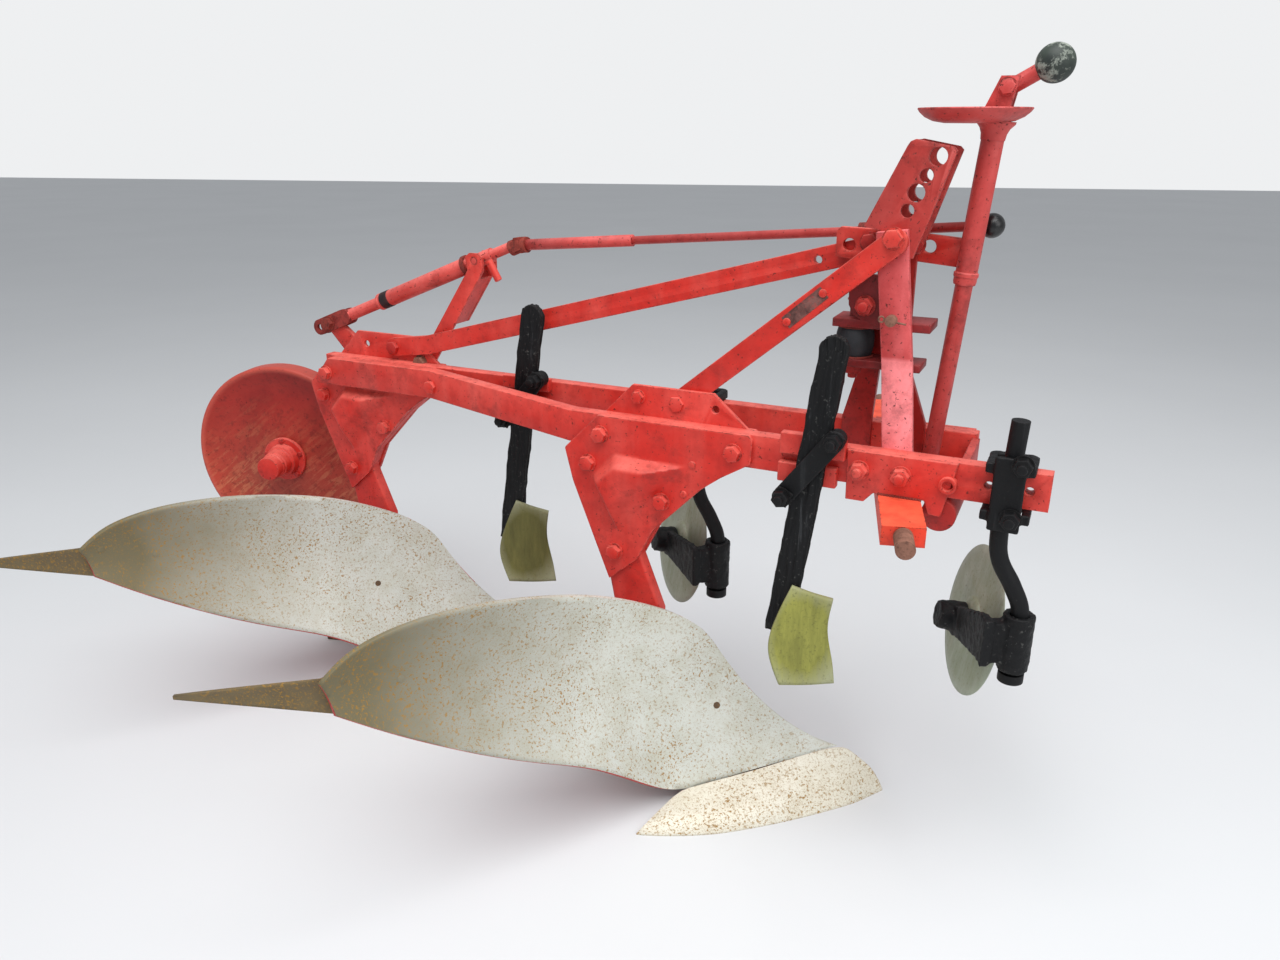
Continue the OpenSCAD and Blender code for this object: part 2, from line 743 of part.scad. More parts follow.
// The outline, with a hump of the given height above the beam
module plate_outline(hump) {
    polygon([for (p = concat(PLATE, hump > 0 ? [[-254, 0], [-314, hump], [-462, hump]] : []))
        [p[0], beam_top + p[1]]]);
}
module near_plate() {
    union() {
        upright(near_v - plate_t, plate_t)
            plate_outline(0);
        hull() {
            upright(near_v - plate_t - 1, 1)
                polygon([[-518, beam_top - 88], [-350, beam_top - 74], [-484, beam_top - 212]]);
            upright(near_v - plate_t - dome_h, 1)
                polygon([[-502, beam_top - 104], [-412, beam_top - 98], [-480, beam_top - 178]]);
        }
    }
}
module far_plate(hole_u) {
    difference() {
        upright(near_v + beam_t, plate_t)
            plate_outline(52);
        cross_bore(hole_u, beam_top + 26, 14, near_v + beam_t, plate_t);
    }
}
module frog() {
    t = share_t;
    g = [for (s = [3:0.5:5.5])
        let (e = share_edge(s), m = share_seam(s), w = lerp(e, m, 0.72))
        [w - [0, 0, t + 0.3], m - [0, 0, t + 0.8], [m[0], m[1], 8], [w[0], w[1], 8]]];
    n = len(g) - 1;
    union() {
        polyhedron(points = [for (r = g) for (p = r) p],
            faces = concat([for (i = [0:n - 1]) for (j = [0:3]) for (k = [0, 1]) k == 0
                ? [i * 4 + j, (i + 1) * 4 + j, (i + 1) * 4 + (j + 1) % 4]
                : [i * 4 + j, (i + 1) * 4 + (j + 1) % 4, i * 4 + (j + 1) % 4]],
                [[0, 1, 2, 3], [n * 4 + 3, n * 4 + 2, n * 4 + 1, n * 4]]));
        translate([0, 0, 8])
            linear_extrude(12)
                polygon([[-190, -land_t - 0.3], [-190, -44], [-336, -92], [-412, -48],
                    [-500, -48], [-500, -land_t - 0.3]]);
        translate([0, 0, 8])
            linear_extrude(frog_h - 8)
                polygon([[-396, -land_t - 0.3], [-396, -28], [-412, -48],
                    [-500, -48], [-500, -land_t - 0.3]]);
    }
}
module share() {
    t = share_t;
    n = 2 * SHARE_END;
    g = [for (i = [0:n]) let (s = i / 2, e = share_edge(s), m = share_seam(s), k = min(1, i / 4))
        [e, e + [0, 0, 3], m, m - [0, 0, lerp(m[2] - 4, t, k)]]];
    polyhedron(points = [for (r = g) for (p = r) p],
        faces = concat([for (i = [0:n - 1]) for (j = [0:3]) for (k = [0, 1]) k == 0
            ? [i * 4 + j, (i + 1) * 4 + (j + 1) % 4, i * 4 + (j + 1) % 4]
            : [i * 4 + j, (i + 1) * 4 + j, (i + 1) * 4 + (j + 1) % 4]],
            [[0, 1, 2, 3], [n * 4 + 3, n * 4 + 2, n * 4 + 1, n * 4]]));
}
module moldboard() {
    sheet([for (i = [0:2 * BOARD_END]) [for (j = [0:8]) board_pt(i / 2, j / 8)]], board_t);
}
module landside(rear) {
    rotate([90, 0, 0])
        linear_extrude(land_t)
            polygon([[-150, 0], [-150, 50], [-235, land_h],
                [rear + 12, land_h], [rear, land_h - 12], [rear, 0]]);
}
module tailpiece() {
    tip = [-1072, -500, 388];
    HEIGHTS = [0.1, 0.35, 0.6, 0.85];
    g = concat([for (a = [7.6:0.4:8.8]) [for (b = HEIGHTS) board_rear_pt(a, b, a > 8.5 ? 2.6 : 1.7)]],
        [for (k = [0.35, 0.7, 1]) [for (b = [0, 1, 2, 3])
            lerp(board_rear_pt(8.8, HEIGHTS[b], 2.6), tip + [0, 0, 2 * b], k)]]);
    sheet(g, 5);
}
module board_stay() {
    p = board_rear_pt(6.2, 0.55, 3.6);
    n = board_back(6.2, 0.55);
    q = concat(xy(-478, near_v + beam_t), [250]);
    rod(p + 6 * n, q + [-14, 10, 0], 22);
    rod(p, p + 8 * n, 26);
}

module front_leg() {
    color("#c8402f") along_beam() leg();
}
module front_near_plate() {
    color("#cb4331") along_beam() near_plate();
}
module front_far_plate() {
    color("#b93a2c") along_beam() far_plate(-310);
}
module front_frog() {
    color("#5a4a40") place() frog();
}
module front_share() {
    color("#a9a69b") place() share();
}
module front_moldboard() {
    color("#b3b7ae") place() moldboard();
}
module front_landside() {
    color("#6b5a4c") place() landside(land_rear_1);
}
module front_tailpiece() {
    color("#8a6f58") place() tailpiece();
}
module front_board_stay() {
    color("#b93a2c") place() board_stay();
}
module rear_leg() {
    color("#c8402f") along_beam() translate([step_u, step_v, 0]) leg();
}
module rear_near_plate() {
    color("#cb4331") along_beam() translate([step_u, step_v, 0]) near_plate();
}
module rear_far_plate() {
    color("#b93a2c") along_beam() translate([step_u, step_v, 0]) far_plate(-439);
}
module rear_frog() {
    color("#5a4a40") place() at_rear_body() frog();
}
module rear_share() {
    color("#a9a69b") place() at_rear_body() share();
}
module rear_moldboard() {
    color("#b3b7ae") place() at_rear_body() moldboard();
}
module rear_landside() {
    color("#6b5a4c") place() at_rear_body() landside(land_rear_2);
}
module rear_tailpiece() {
    color("#8a6f58") place() at_rear_body() tailpiece();
}
module rear_board_stay() {
    color("#b93a2c") place() at_rear_body() board_stay();
}

// A skimmer hangs from u on the beam, its stalk on face v, the foot leaning back
module lean_back(u, v, lean) {
    translate([u, v, beam_mid])
        rotate([0, lean, 0])
            translate([0, 0, -beam_mid])
                children();
}
module skimmer_stalk(z_top, z_bot) {
    upright(0, stalk_t)
        union() {
            translate([-stalk_w / 2, z_bot])
                square([stalk_w, z_top - z_bot - stalk_w / 2]);
            translate([0, z_top - stalk_w / 2])
                circle(d = stalk_w);
        }
}
// Blade columns from the land side to the wing, each from the bottom up, along the beams
BLADE = [
    [[-70, -171.7, 311], [-76, -171.7, 353], [-88, -174.7, 410], [-81, -175.7, 465]],
    [[-107, -198.7, 313], [-119, -198.7, 360], [-124, -192.7, 426], [-113, -185.7, 474]],
    [[-146, -229.7, 320], [-171, -225.7, 378], [-163, -208.7, 433], [-145, -193.7, 485]]];
function blade_pt(a, b) = crom([for (c = BLADE) crom(c, 3 * b)], 2 * a);
module skimmer_blade() {
    sheet([for (i = [0:8]) [for (j = [0:6]) blade_pt(i / 8, j / 6)]], blade_t);
}
// From the front skimmer to the rear one
SKIM_STEP = [-625.5, far_v - near_v + 1.1, -15];
module front_skimmer() {
    color("#23211f")
        along_beam()
            lean_back(-130.5, near_v - 16 - stalk_t, 7.3)
                skimmer_stalk(894, 388);
}
module front_skimmer_blade() {
    color("#7d8130")
        along_beam()
            skimmer_blade();
}
// Clamp: a block between stalk and beam, a slanting strap over the stalk, a spacer on each side of it
module skimmer_clamp(u, v, rise, drop) {
    translate([u, v - 16, beam_bot - drop])
        cube([92, 16, beam_h + rise + drop]);
    for (e = [[u + 84, beam_top + rise - 16], [u + 9, beam_bot - drop + 10]])
        translate([e[0], v - 16.2, e[1]])
            rotate([90, 0, 0])
                cylinder(d = 14, h = stalk_t + 0.6);
    flat_bar([u + 84, beam_top + rise - 16], [u + 9, beam_bot - drop + 10], v - 16 - stalk_t - 9.5, 9, 32);
}
module front_skimmer_clamp() {
    color("#1d1c1b")
        along_beam()
            skimmer_clamp(-178, near_v, 36, 34);
}
module rear_skimmer() {
    color("#23211f")
        along_beam()
            lean_back(-748, far_v - 16 - stalk_t, 8.9)
                skimmer_stalk(868, 372);
}
module rear_skimmer_blade() {
    color("#7d8130")
        along_beam()
            translate(SKIM_STEP)
                skimmer_blade();
}
module rear_skimmer_clamp() {
    color("#1d1c1b")
        along_beam()
            skimmer_clamp(-795, far_v, 26, 30);
}

// Disc coulters: cranked stem, barrel that swivels on its foot, arm to the hub beside the disc
barrel_top = 500;
disc_axle = 20;
disc_tilt = -9;
// The stem's bends from its top down to the barrel, along the beams from the barrel's axis
STEM = [[-36, 795], [-40, 700], [-44, 618], [-40, 585], [-14, 540], [0, 512], [0, 392]];
module coulter_stem(top) {
    for (i = [0:len(STEM) - 2]) {
        a = [STEM[i][0], 0, i == 0 ? top : STEM[i][1]];
        b = [STEM[i + 1][0], 0, STEM[i + 1][1]];
        rod(a, b, stem_d);
        if (i > 0)
            translate(a)
                sphere(d = stem_d + 1);
    }
    translate([0, 0, 388])
        cylinder(d = barrel_d - 8, h = 14.5);
}
// Arm and axle at the swivel's own origin, trailing towards -X
// drop is how far the hub lies below the barrel's middle
disc_v = -17;
module disc_place(drop) {
    translate([-coulter_trail, disc_v, barrel_top - barrel_h / 2 - drop])
        rotate([disc_tilt, 0, 0])
            children();
}
// Arm: a plate past the disc's outer side, a long boss for the axle at its end
module coulter_arm(drop) {
    z1 = barrel_top - barrel_h;
    hub_z = barrel_top - barrel_h / 2 - drop;
    difference() {
        union() {
            translate([0, 0, z1])
                cylinder(d = barrel_d, h = barrel_h);
            translate([-12, disc_v - 25, z1 + 12])
                cube([22, 36, barrel_h - 24]);
            upright(disc_v - 36, 13)
                union() {
                    polygon([[12, z1 + 8], [12, barrel_top - 8], [-14, barrel_top - 8],
                        [-coulter_trail, hub_z + 25], [-coulter_trail, hub_z - 25], [-14, z1 + 8]]);
                    translate([-coulter_trail, hub_z])
                        circle(d = 56);
                }
            disc_place(drop)
                translate([0, -16, 0])
                    rotate([90, 0, 0])
                        cylinder(d1 = 54, d2 = 46, h = 44, $fn = 32);
            disc_place(drop)
                translate([0, 9, 0])
                    rotate([90, 0, 0])
                        cylinder(d = disc_axle, h = 40);
        }
        translate([0, 0, barrel_top - barrel_h - 1])
            cylinder(d = stem_d + 2 * run_clear, h = barrel_h + 2);
    }
}
module coulter_disc(drop) {
    disc_place(drop)
        rotate([90, 0, 0])
            difference() {
                rotate_extrude($fn = 72)
                    polygon([[0, -14], [16, -14], [16, -disc_t / 2], [disc_d / 2 - 16, -disc_t / 2],
                        [disc_d / 2, -0.5], [disc_d / 2, 0.5], [disc_d / 2 - 16, disc_t / 2],
                        [40, disc_t / 2], [38, 8], [26, 14], [0, 14]]);
                translate([0, 0, -10])
                    cylinder(d = disc_axle + 2 * run_clear, h = 30);
            }
}
stem_v = stem_d / 2 + 0.3;
coulter_1 = [196, near_v - stem_v, 0];
coulter_2 = [-343, far_v - stem_v, -46];
// Clamp: a plate over the stem, and a strap round stem and beam above and below the beam
module clamp_plate() {
    far_side = stem_d / 2 + beam_t + 0.6;
    translate([-62, -stem_d / 2 - 8.3, beam_bot - 28])
        cube([44, 8, beam_h + 56]);
    for (z = [beam_bot - 16.3, beam_top + 0.3])
        translate([-40, 0, z])
            linear_extrude(16)
                polygon([[-34, -stem_d / 2], [-22, -stem_d / 2], [-22, far_side], [22, far_side],
                    [22, -stem_d / 2], [34, -stem_d / 2], [34, far_side + 6], [28, far_side + 12],
                    [-28, far_side + 12], [-34, far_side + 6]]);
}
module front_coulter_stem() {
    color("#1d1c1b") along_beam() translate(coulter_1) coulter_stem(795);
}
module front_coulter_clamp() {
    color("#1d1c1b") along_beam() translate(coulter_1) clamp_plate();
}
module front_coulter_arm() {
    color("#23211f") along_beam() translate(coulter_1) rotate([0, 0, swivel_1 + beam_yaw]) coulter_arm(44);
}
module front_coulter_disc() {
    color("#8f9382") along_beam() translate(coulter_1) rotate([0, 0, swivel_1 + beam_yaw]) coulter_disc(44);
}
module rear_coulter_stem() {
    color("#1d1c1b") along_beam() translate(coulter_2) coulter_stem(800);
}
module rear_coulter_clamp() {
    color("#1d1c1b") along_beam() translate([coulter_2[0], coulter_2[1], 0]) clamp_plate();
}
module rear_coulter_arm() {
    color("#23211f") along_beam() translate(coulter_2) rotate([0, 0, swivel_2 + beam_yaw]) coulter_arm(14);
}
module rear_coulter_disc() {
    color("#8f9382") along_beam() translate(coulter_2) rotate([0, 0, swivel_2 + beam_yaw]) coulter_disc(14);
}

near_beam();
far_beam();
beam_brace();
cross_bracket();
cross_shaft();
pivot_tube();
mast_near_bar();
mast_far_frame();
mast_head();
mast_arm();
front_stay();
rear_stay();
buffer();
buffer_bracket();
crank_tube();
crank_dish();
crank_handle();
turn_rod();
turn_joint();
rod_guide();
screw_post();
screw_tube();
screw_rod();
depth_bracket();
depth_lever();
depth_arm();
depth_wheel();
depth_hub();
front_leg();
front_near_plate();
front_far_plate();
front_frog();
front_share();
front_moldboard();
front_landside();
front_tailpiece();
front_board_stay();
rear_leg();
rear_near_plate();
rear_far_plate();
rear_frog();
rear_share();
rear_moldboard();
rear_landside();
rear_tailpiece();
rear_board_stay();
front_skimmer();
front_skimmer_blade();
front_skimmer_clamp();
rear_skimmer();
rear_skimmer_blade();
rear_skimmer_clamp();
front_coulter_stem();
front_coulter_clamp();
front_coulter_arm();
front_coulter_disc();
rear_coulter_stem();
rear_coulter_clamp();
rear_coulter_arm();
rear_coulter_disc();
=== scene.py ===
"""Two-furrow mounted moldboard plough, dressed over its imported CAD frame."""

import json
import math

import bpy
from mathutils import Matrix, Vector, noise


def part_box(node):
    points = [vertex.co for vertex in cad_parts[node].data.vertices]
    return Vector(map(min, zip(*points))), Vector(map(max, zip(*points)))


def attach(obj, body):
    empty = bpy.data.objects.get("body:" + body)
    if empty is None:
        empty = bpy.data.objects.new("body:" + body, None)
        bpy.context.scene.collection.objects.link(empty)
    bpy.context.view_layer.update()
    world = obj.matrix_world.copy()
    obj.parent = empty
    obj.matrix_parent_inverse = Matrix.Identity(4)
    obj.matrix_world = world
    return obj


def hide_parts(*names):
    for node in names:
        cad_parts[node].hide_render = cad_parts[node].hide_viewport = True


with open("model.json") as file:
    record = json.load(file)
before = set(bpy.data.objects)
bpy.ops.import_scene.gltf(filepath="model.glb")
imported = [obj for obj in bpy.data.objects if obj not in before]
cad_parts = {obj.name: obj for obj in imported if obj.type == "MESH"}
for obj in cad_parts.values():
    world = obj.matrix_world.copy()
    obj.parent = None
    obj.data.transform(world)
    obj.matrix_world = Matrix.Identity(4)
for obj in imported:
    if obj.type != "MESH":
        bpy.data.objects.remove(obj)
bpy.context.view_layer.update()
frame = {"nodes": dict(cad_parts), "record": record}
nodes = frame["nodes"]
slots = {part["node"]: part["material_slot"] for part in frame["record"]["subparts"]}

# Camera, floor and light
# The camera stands off the plough's front corner on the furrow side and looks a little down.
# A pale floor and backdrop, an overcast sky and two wide soft lamps.


def link(piece):
    bpy.context.scene.collection.objects.link(piece)


lens_px = 956.4
frame_px = 1280
camera_data = bpy.data.cameras.new("camera")
camera_data.sensor_width = 36
camera_data.lens = lens_px * camera_data.sensor_width / frame_px
camera_data.dof.use_dof = False
camera = bpy.data.objects.new("camera", camera_data)
camera.location = (0.6131, -1.5982, 1.1787)
camera.rotation_euler = (math.radians(69.74), 0, math.radians(10.74))
link(camera)
bpy.context.scene.camera = camera
bpy.context.scene.view_settings.view_transform = "Standard"


class Signal:
    """A node's output; arithmetic on it adds Math nodes to the same material."""

    def __init__(self, finish, socket):
        self.finish = finish
        self.socket = socket

    def _math(self, operation, first, second):
        return self.finish.node("Math", {"operation": operation}, 0, {0: first, 1: second})

    def __add__(self, other):
        return self._math("ADD", self, other)

    __radd__ = __add__

    def __sub__(self, other):
        return self._math("SUBTRACT", self, other)

    def __rsub__(self, other):
        return self._math("SUBTRACT", other, self)

    def __mul__(self, other):
        return self._math("MULTIPLY", self, other)

    def __truediv__(self, other):
        return self._math("DIVIDE", self, other)

    def clip(self):
        made = self._math("ADD", self, 0.0)
        made.socket.node.use_clamp = True
        return made


class Finish:
    """A material under construction, written as expressions on its signals."""

    def __init__(self, name):
        self.material = bpy.data.materials.new(name)
        self.material.use_nodes = True
        self.tree = self.material.node_tree
        self.shader = self.tree.nodes["Principled BSDF"]
        self.place = self.node("TexCoord", out="Object")
        self.normal = self.node("NewGeometry", out="Normal")

    def node(self, kind, settings=None, out=0, sockets=None):
        made = self.tree.nodes.new("ShaderNode" + kind)
        for key, value in (settings or {}).items():
            setattr(made, key, value)
        for key, value in (sockets or {}).items():
            self.feed(made.inputs[key], value)
        return Signal(self, made.outputs[out])

    def feed(self, socket, value):
        if isinstance(value, Signal):
            self.tree.links.new(value.socket, socket)
        else:
            socket.default_value = value

    def noise(self, scale, detail, rough=0.7, stretch=(1, 1, 1), turn=(0, 0, 0)):
        place = self.node("Mapping", {"vector_type": "TEXTURE"}, sockets={
            0: self.place, 2: turn, 3: tuple(1 / s for s in stretch)})
        return self.node("TexNoise", sockets={
            "Vector": place, "Scale": scale, "Detail": detail, "Roughness": rough})

    def above(self, signal, level, width):
        """0 below the level, 1 above it, over the given width."""
        return ((signal - (level - width / 2)) / width).clip()

    def colours(self, mask, low, high):
        return self.node("Mix", {"data_type": "RGBA"}, 2, {0: mask, 6: low, 7: high})

    def lay(self, mask, tint):
        """Lays a tint over the colour so far, by the mask."""
        self.colour = self.colours(mask, self.colour, tint)

    def up(self):
        """1 on faces that look up, 0 on upright ones."""
        return self.node("SeparateXYZ", out=2, sockets={0: self.normal}).clip()

    def along(self, axis):
        """The place along X, Y or Z (0, 1 or 2), in metres."""
        return self.node("SeparateXYZ", out=axis, sockets={0: self.place})

    def away(self, centre, axis=(1, 1, 1)):
        """The distance from a point, without the axes that are 0."""
        offset = self.node("VectorMath", {"operation": "SUBTRACT"}, 0, {0: self.place, 1: centre})
        kept = self.node("VectorMath", {"operation": "MULTIPLY"}, 0, {0: offset, 1: axis})
        return self.node("VectorMath", {"operation": "LENGTH"}, 1, {0: kept})

    def edges(self, radius):
        """1 along the edges, where the finishes lay wear and, on the red paints, a painted highlight."""
        soft = self.node("Bevel", {"samples": 4}, sockets={0: radius})
        same = self.node("VectorMath", {"operation": "DOT_PRODUCT"}, 1, {0: soft, 1: self.normal})
        return ((1 - same) * 9.0).clip()

    def ends(self, roughness, height=None, depth=0.001, metallic=0.0, specular=0.35):
        self.feed(self.shader.inputs["Base Color"], self.colour)
        self.feed(self.shader.inputs["Roughness"], roughness)
        self.feed(self.shader.inputs["Metallic"], metallic)
        self.shader.inputs["Specular IOR Level"].default_value = specular
        if height is not None:
            bump = self.node("Bump", sockets={"Strength": 0.6, "Distance": depth, "Height": height})
            self.feed(self.shader.inputs["Normal"], bump)
        return self.material


def rgb(red, green, blue):
    """A colour as the eye reads it, 0 to 255, as the shader wants it."""
    linear = [c / 255 / 12.92 if c <= 10 else ((c / 255 + 0.055) / 1.055) ** 2.4 for c in (red, green, blue)]
    return (*linear, 1.0)


world = bpy.data.worlds.new("sky")
bpy.context.scene.world = world
world.use_nodes = True
sky = world.node_tree
paths = sky.nodes.new("ShaderNodeLightPath")
sky_light = sky.nodes["Background"]
sky_light.inputs[0].default_value = (0.93, 0.96, 1.0, 1.0)
sky_light.inputs[1].default_value = 0.5
sky_seen = sky.nodes.new("ShaderNodeBackground")
sky_seen.inputs[0].default_value = (0.86, 0.87, 0.88, 1.0)
sky_mix = sky.nodes.new("ShaderNodeMixShader")
sky.links.new(paths.outputs["Is Camera Ray"], sky_mix.inputs[0])
sky.links.new(sky_light.outputs[0], sky_mix.inputs[1])
sky.links.new(sky_seen.outputs[0], sky_mix.inputs[2])
sky.links.new(sky_mix.outputs[0], sky.nodes["World Output"].inputs[0])


def soft_lamp(name, place, aim, size, power):
    lamp = bpy.data.lights.new(name, "AREA")
    lamp.size = size
    lamp.energy = power
    made = bpy.data.objects.new(name, lamp)
    made.location = place
    made.rotation_euler = (Vector(aim) - Vector(place)).to_track_quat("-Z", "Y").to_euler()
    link(made)


soft_lamp("sky_panel", (0.6, -1.4, 4.2), (0, 0, 0.4), 3.6, 190)
soft_lamp("front_panel", (3.2, -2.6, 2.2), (0, 0, 0.5), 2.4, 36)


def clear_choice():
    bpy.ops.object.select_all(action="DESELECT")


def choose(*pieces):
    clear_choice()
    for piece in pieces:
        piece.select_set(True)
    bpy.context.view_layer.objects.active = pieces[-1]


clear_choice()
bpy.ops.mesh.primitive_plane_add(size=40, location=(0, 0, -0.0005))
floor = bpy.context.object
floor.name = "floor"
floor_finish = Finish("pale_floor")
floor_finish.colour = floor_finish.colours(
    floor_finish.noise(0.8, 4, 0.55), (0.66, 0.67, 0.68, 1), (0.72, 0.73, 0.74, 1))
floor.data.materials.append(floor_finish.ends(0.8))

# Beams
# Two flat bars of 56 by 26 mm steel run the length of the plough, the near one bent in to the
# rear body. Both wear orange-red paint of long ago: bleached to pink in patches and streaks, paler
# on faces that look up from bleaching and from a painted highlight, with a painted highlight
# along the edges as well, speckled with dirt, worn to brown along the edges.


def red_paint(name, fresh, faded_and_lit, grime, speckle=0.6, bleach_below=None):
    """Weathered red: grime is how much has darkened, speckle how much is pitted."""
    f = Finish(name)
    broad = f.noise(5.0, 5, 0.6)
    fine = f.noise(38.0, 6, 0.65)
    drips = f.noise(16.0, 4, 0.6, stretch=(1, 1, 0.1))
    # Faces that look up are mixed towards the pale tone, partly sun-bleaching and partly painted highlight;
    # the patches and drips are bleached paint
    bleach_and_top_light = f.up() * 0.62 + f.above(broad, 0.58, 0.25) * 0.25 + f.above(drips, 0.56, 0.2) * 0.2
    if bleach_below:
        bleach_and_top_light = bleach_and_top_light + (1 - f.above(f.along(2), bleach_below, 0.006)) * 0.8
    bleach_and_top_light = bleach_and_top_light.clip()
    f.colour = f.colours(bleach_and_top_light, fresh, faded_and_lit)
    f.lay(f.above(fine, 0.54, 0.2) * 0.3, rgb(150, 26, 22))
    stains = f.above(f.noise(14.0, 7, 0.72), 0.64 - 0.11 * grime, 0.12)
    f.lay(stains * (0.25 + 0.45 * grime), rgb(86, 20, 16))
    edge = f.edges(0.004)
    # Painted highlight: a pale line of the faded tone along the edges
    f.lay(edge * 0.35, faded_and_lit)
    worn = edge * f.above(f.noise(60.0, 5), 0.53, 0.12)
    pits = f.above(f.noise(170.0, 3), 0.675 - 0.03 * speckle, 0.03)
    chips = f.above(f.noise(33.0, 7, 0.76), 0.70 - 0.03 * speckle, 0.012)
    rust = (worn * 0.85 + pits * 0.8 + chips * 0.7).clip()
    f.lay(rust, f.colours(fine, rgb(44, 18, 15), rgb(84, 36, 25)))
    rough = 0.40 + bleach_and_top_light * 0.16 + rust * 0.3 + fine * 0.1
    return f.ends(rough.clip(), fine * 0.35 - rust * 0.5 + drips * 0.3, 0.0012)


red = red_paint("red_paint", rgb(206, 40, 29), rgb(228, 112, 100), 0.3)
dark_red = red_paint("dark_red_paint", rgb(168, 30, 25), rgb(196, 80, 72), 0.7, 0.9)


def all_smooth(piece):
    piece.data.polygons.foreach_set("use_smooth", [True] * len(piece.data.polygons))


def modify(piece, name, kind, **values):
    """Adds a modifier with these values."""
    made = piece.modifiers.new(name, kind)
    for key, value in values.items():
        setattr(made, key, value)


def round_edges(piece, width, segments, angle=32, harden=True):
    """Adds a bevel to the edges that turn by more than the angle, in degrees."""
    modify(piece, "edge", "BEVEL", width=width, segments=segments, limit_method="ANGLE",
           angle_limit=math.radians(angle), harden_normals=harden)


# Corners closer than this, in metres, are one
same_corner = 0.00002


def dress(name, finish, edge=0.0012, steps=2, areas=()):
    """Gives a CAD node its finish and knocked-round edges; areas are (finish, test of a face)."""
    node = nodes[name]
    node.data.materials.clear()
    node.data.materials.append(finish)
    for i, (other, inside) in enumerate(areas):
        node.data.materials.append(other)
        for face in node.data.polygons:
            if inside(face):
                face.material_index = i + 1
    all_smooth(node)
    modify(node, "weld", "WELD", merge_threshold=same_corner)
    modify(node, "flat", "DECIMATE", decimate_type="DISSOLVE", angle_limit=math.radians(0.25),
           delimit={"MATERIAL"})
    if edge:
        round_edges(node, edge, steps)


yaw = math.radians(14.7)
along_beam = Vector((math.cos(yaw), -math.sin(yaw), 0))
across_beam = Vector((math.sin(yaw), math.cos(yaw), 0))
beam_origin = Vector((0.785, -0.039, 0))
up = Vector((0, 0, 1))


def beam_point(u, v, z):
    """A point given in mm along the beams, across them and up."""
    return (along_beam * u + across_beam * v + up * z) / 1000 + beam_origin


dress("near_beam", red, 0.0018)
dress("far_beam", red, 0.0018)
dress("beam_brace", dark_red, 0.001)

# Bolts
# Hexagon bolts hold the plates, bars and brackets, each on a washer and painted over with the
# rest. Where a nut shows, the bolt's rounded end stands out of it.


def settle(piece, name):
    """Names a finished piece and puts its place into its mesh."""
    choose(piece)
    bpy.ops.object.transform_apply(location=True, rotation=True, scale=True)
    piece.name = name
    piece.data.name = name
    return piece


def shade(piece, degrees=35):
    choose(piece)
    bpy.ops.object.shade_smooth_by_angle(angle=math.radians(degrees))


def joined(parts, name):
    choose(*parts)
    if len(parts) > 1:
        bpy.ops.object.join()
    return settle(bpy.context.object, name)


def edit_all():
    """Opens the active piece in Edit Mode with all of it selected."""
    bpy.ops.object.mode_set(mode="EDIT")
    bpy.ops.mesh.select_all(action="SELECT")


def edit_done():
    bpy.ops.object.mode_set(mode="OBJECT")


def mark(piece, kind, parts, test):
    """Opens a piece in Edit Mode, with its edges or faces that pass a test selected."""
    choose(piece)
    bpy.ops.object.mode_set(mode="EDIT")
    bpy.ops.mesh.select_mode(type=kind)
    bpy.ops.mesh.select_all(action="DESELECT")
    edit_done()
    for part in parts:
        part.select = test(part)
    bpy.ops.object.mode_set(mode="EDIT")


def bevel_where(piece, test, offset, segments=2):
    """Bevels the edges whose two corners both pass the test."""
    corners = piece.data.vertices
    mark(piece, "EDGE", piece.data.edges, lambda edge: all(test(corners[i].co) for i in edge.vertices))
    bpy.ops.mesh.bevel(offset=offset, segments=segments)
    edit_done()


def cylinder(radius, height, corners):
    """A plain cylinder on Z, centred on the origin."""
    clear_choice()
    bpy.ops.mesh.primitive_cylinder_add(vertices=corners, radius=radius, depth=height, location=(0, 0, 0))
    return bpy.context.object


def drum(radius, bottom, top, corners=24, rounding=0.0):
    """A round or hexagonal block standing on Z, its upper rim bevelled."""
    piece = cylinder(radius, top - bottom, corners)
    if rounding:
        bevel_where(piece, lambda p: p.z > 0, rounding)
    piece.location = (0, 0, (bottom + top) / 2)
    return piece


def free_mesh(name, points, edges, faces):
    """A new piece from corners, edges and faces, chosen and active."""
    mesh = bpy.data.meshes.new(name)
    mesh.from_pydata(points, edges, faces)
    piece = bpy.data.objects.new(name, mesh)
    link(piece)
    choose(piece)
    return piece


def slab(name, outline, v_near, v_far, finish, rounding=0.0015, slot="red_paint", replaced=()):
    """A flat piece cut to an outline of (u, z) points, between two distances across the beams."""
    corners = [beam_point(u, v_near, z) for u, z in outline]
    piece = free_mesh(name, corners, [], [list(range(len(outline)))])
    edit_all()
    bpy.ops.mesh.extrude_region_move(TRANSFORM_OT_translate={"value": across_beam * (v_far - v_near) / 1000})
    bpy.ops.mesh.select_all(action="SELECT")
    bpy.ops.mesh.normals_make_consistent(inside=False)
    edit_done()
    round_edges(piece, rounding, 3)
    all_smooth(piece)
    return carried(piece, finish, slot=slot, replaced=replaced)


def arc(centre, radius, first, last, steps=10):
    """Points on an arc, its ends given in degrees."""
    turns = [math.radians(first + (last - first) * i / steps) for i in range(steps + 1)]
    return [(centre[0] + radius * math.cos(t), centre[1] + radius * math.sin(t)) for t in turns]


def strap_outline(start, end, radius):
    """A bar with round ends."""
    heading = math.degrees(math.atan2(end[1] - start[1], end[0] - start[0]))
    return arc(start, radius, heading + 90, heading + 270) + arc(end, radius, heading - 90, heading + 90)


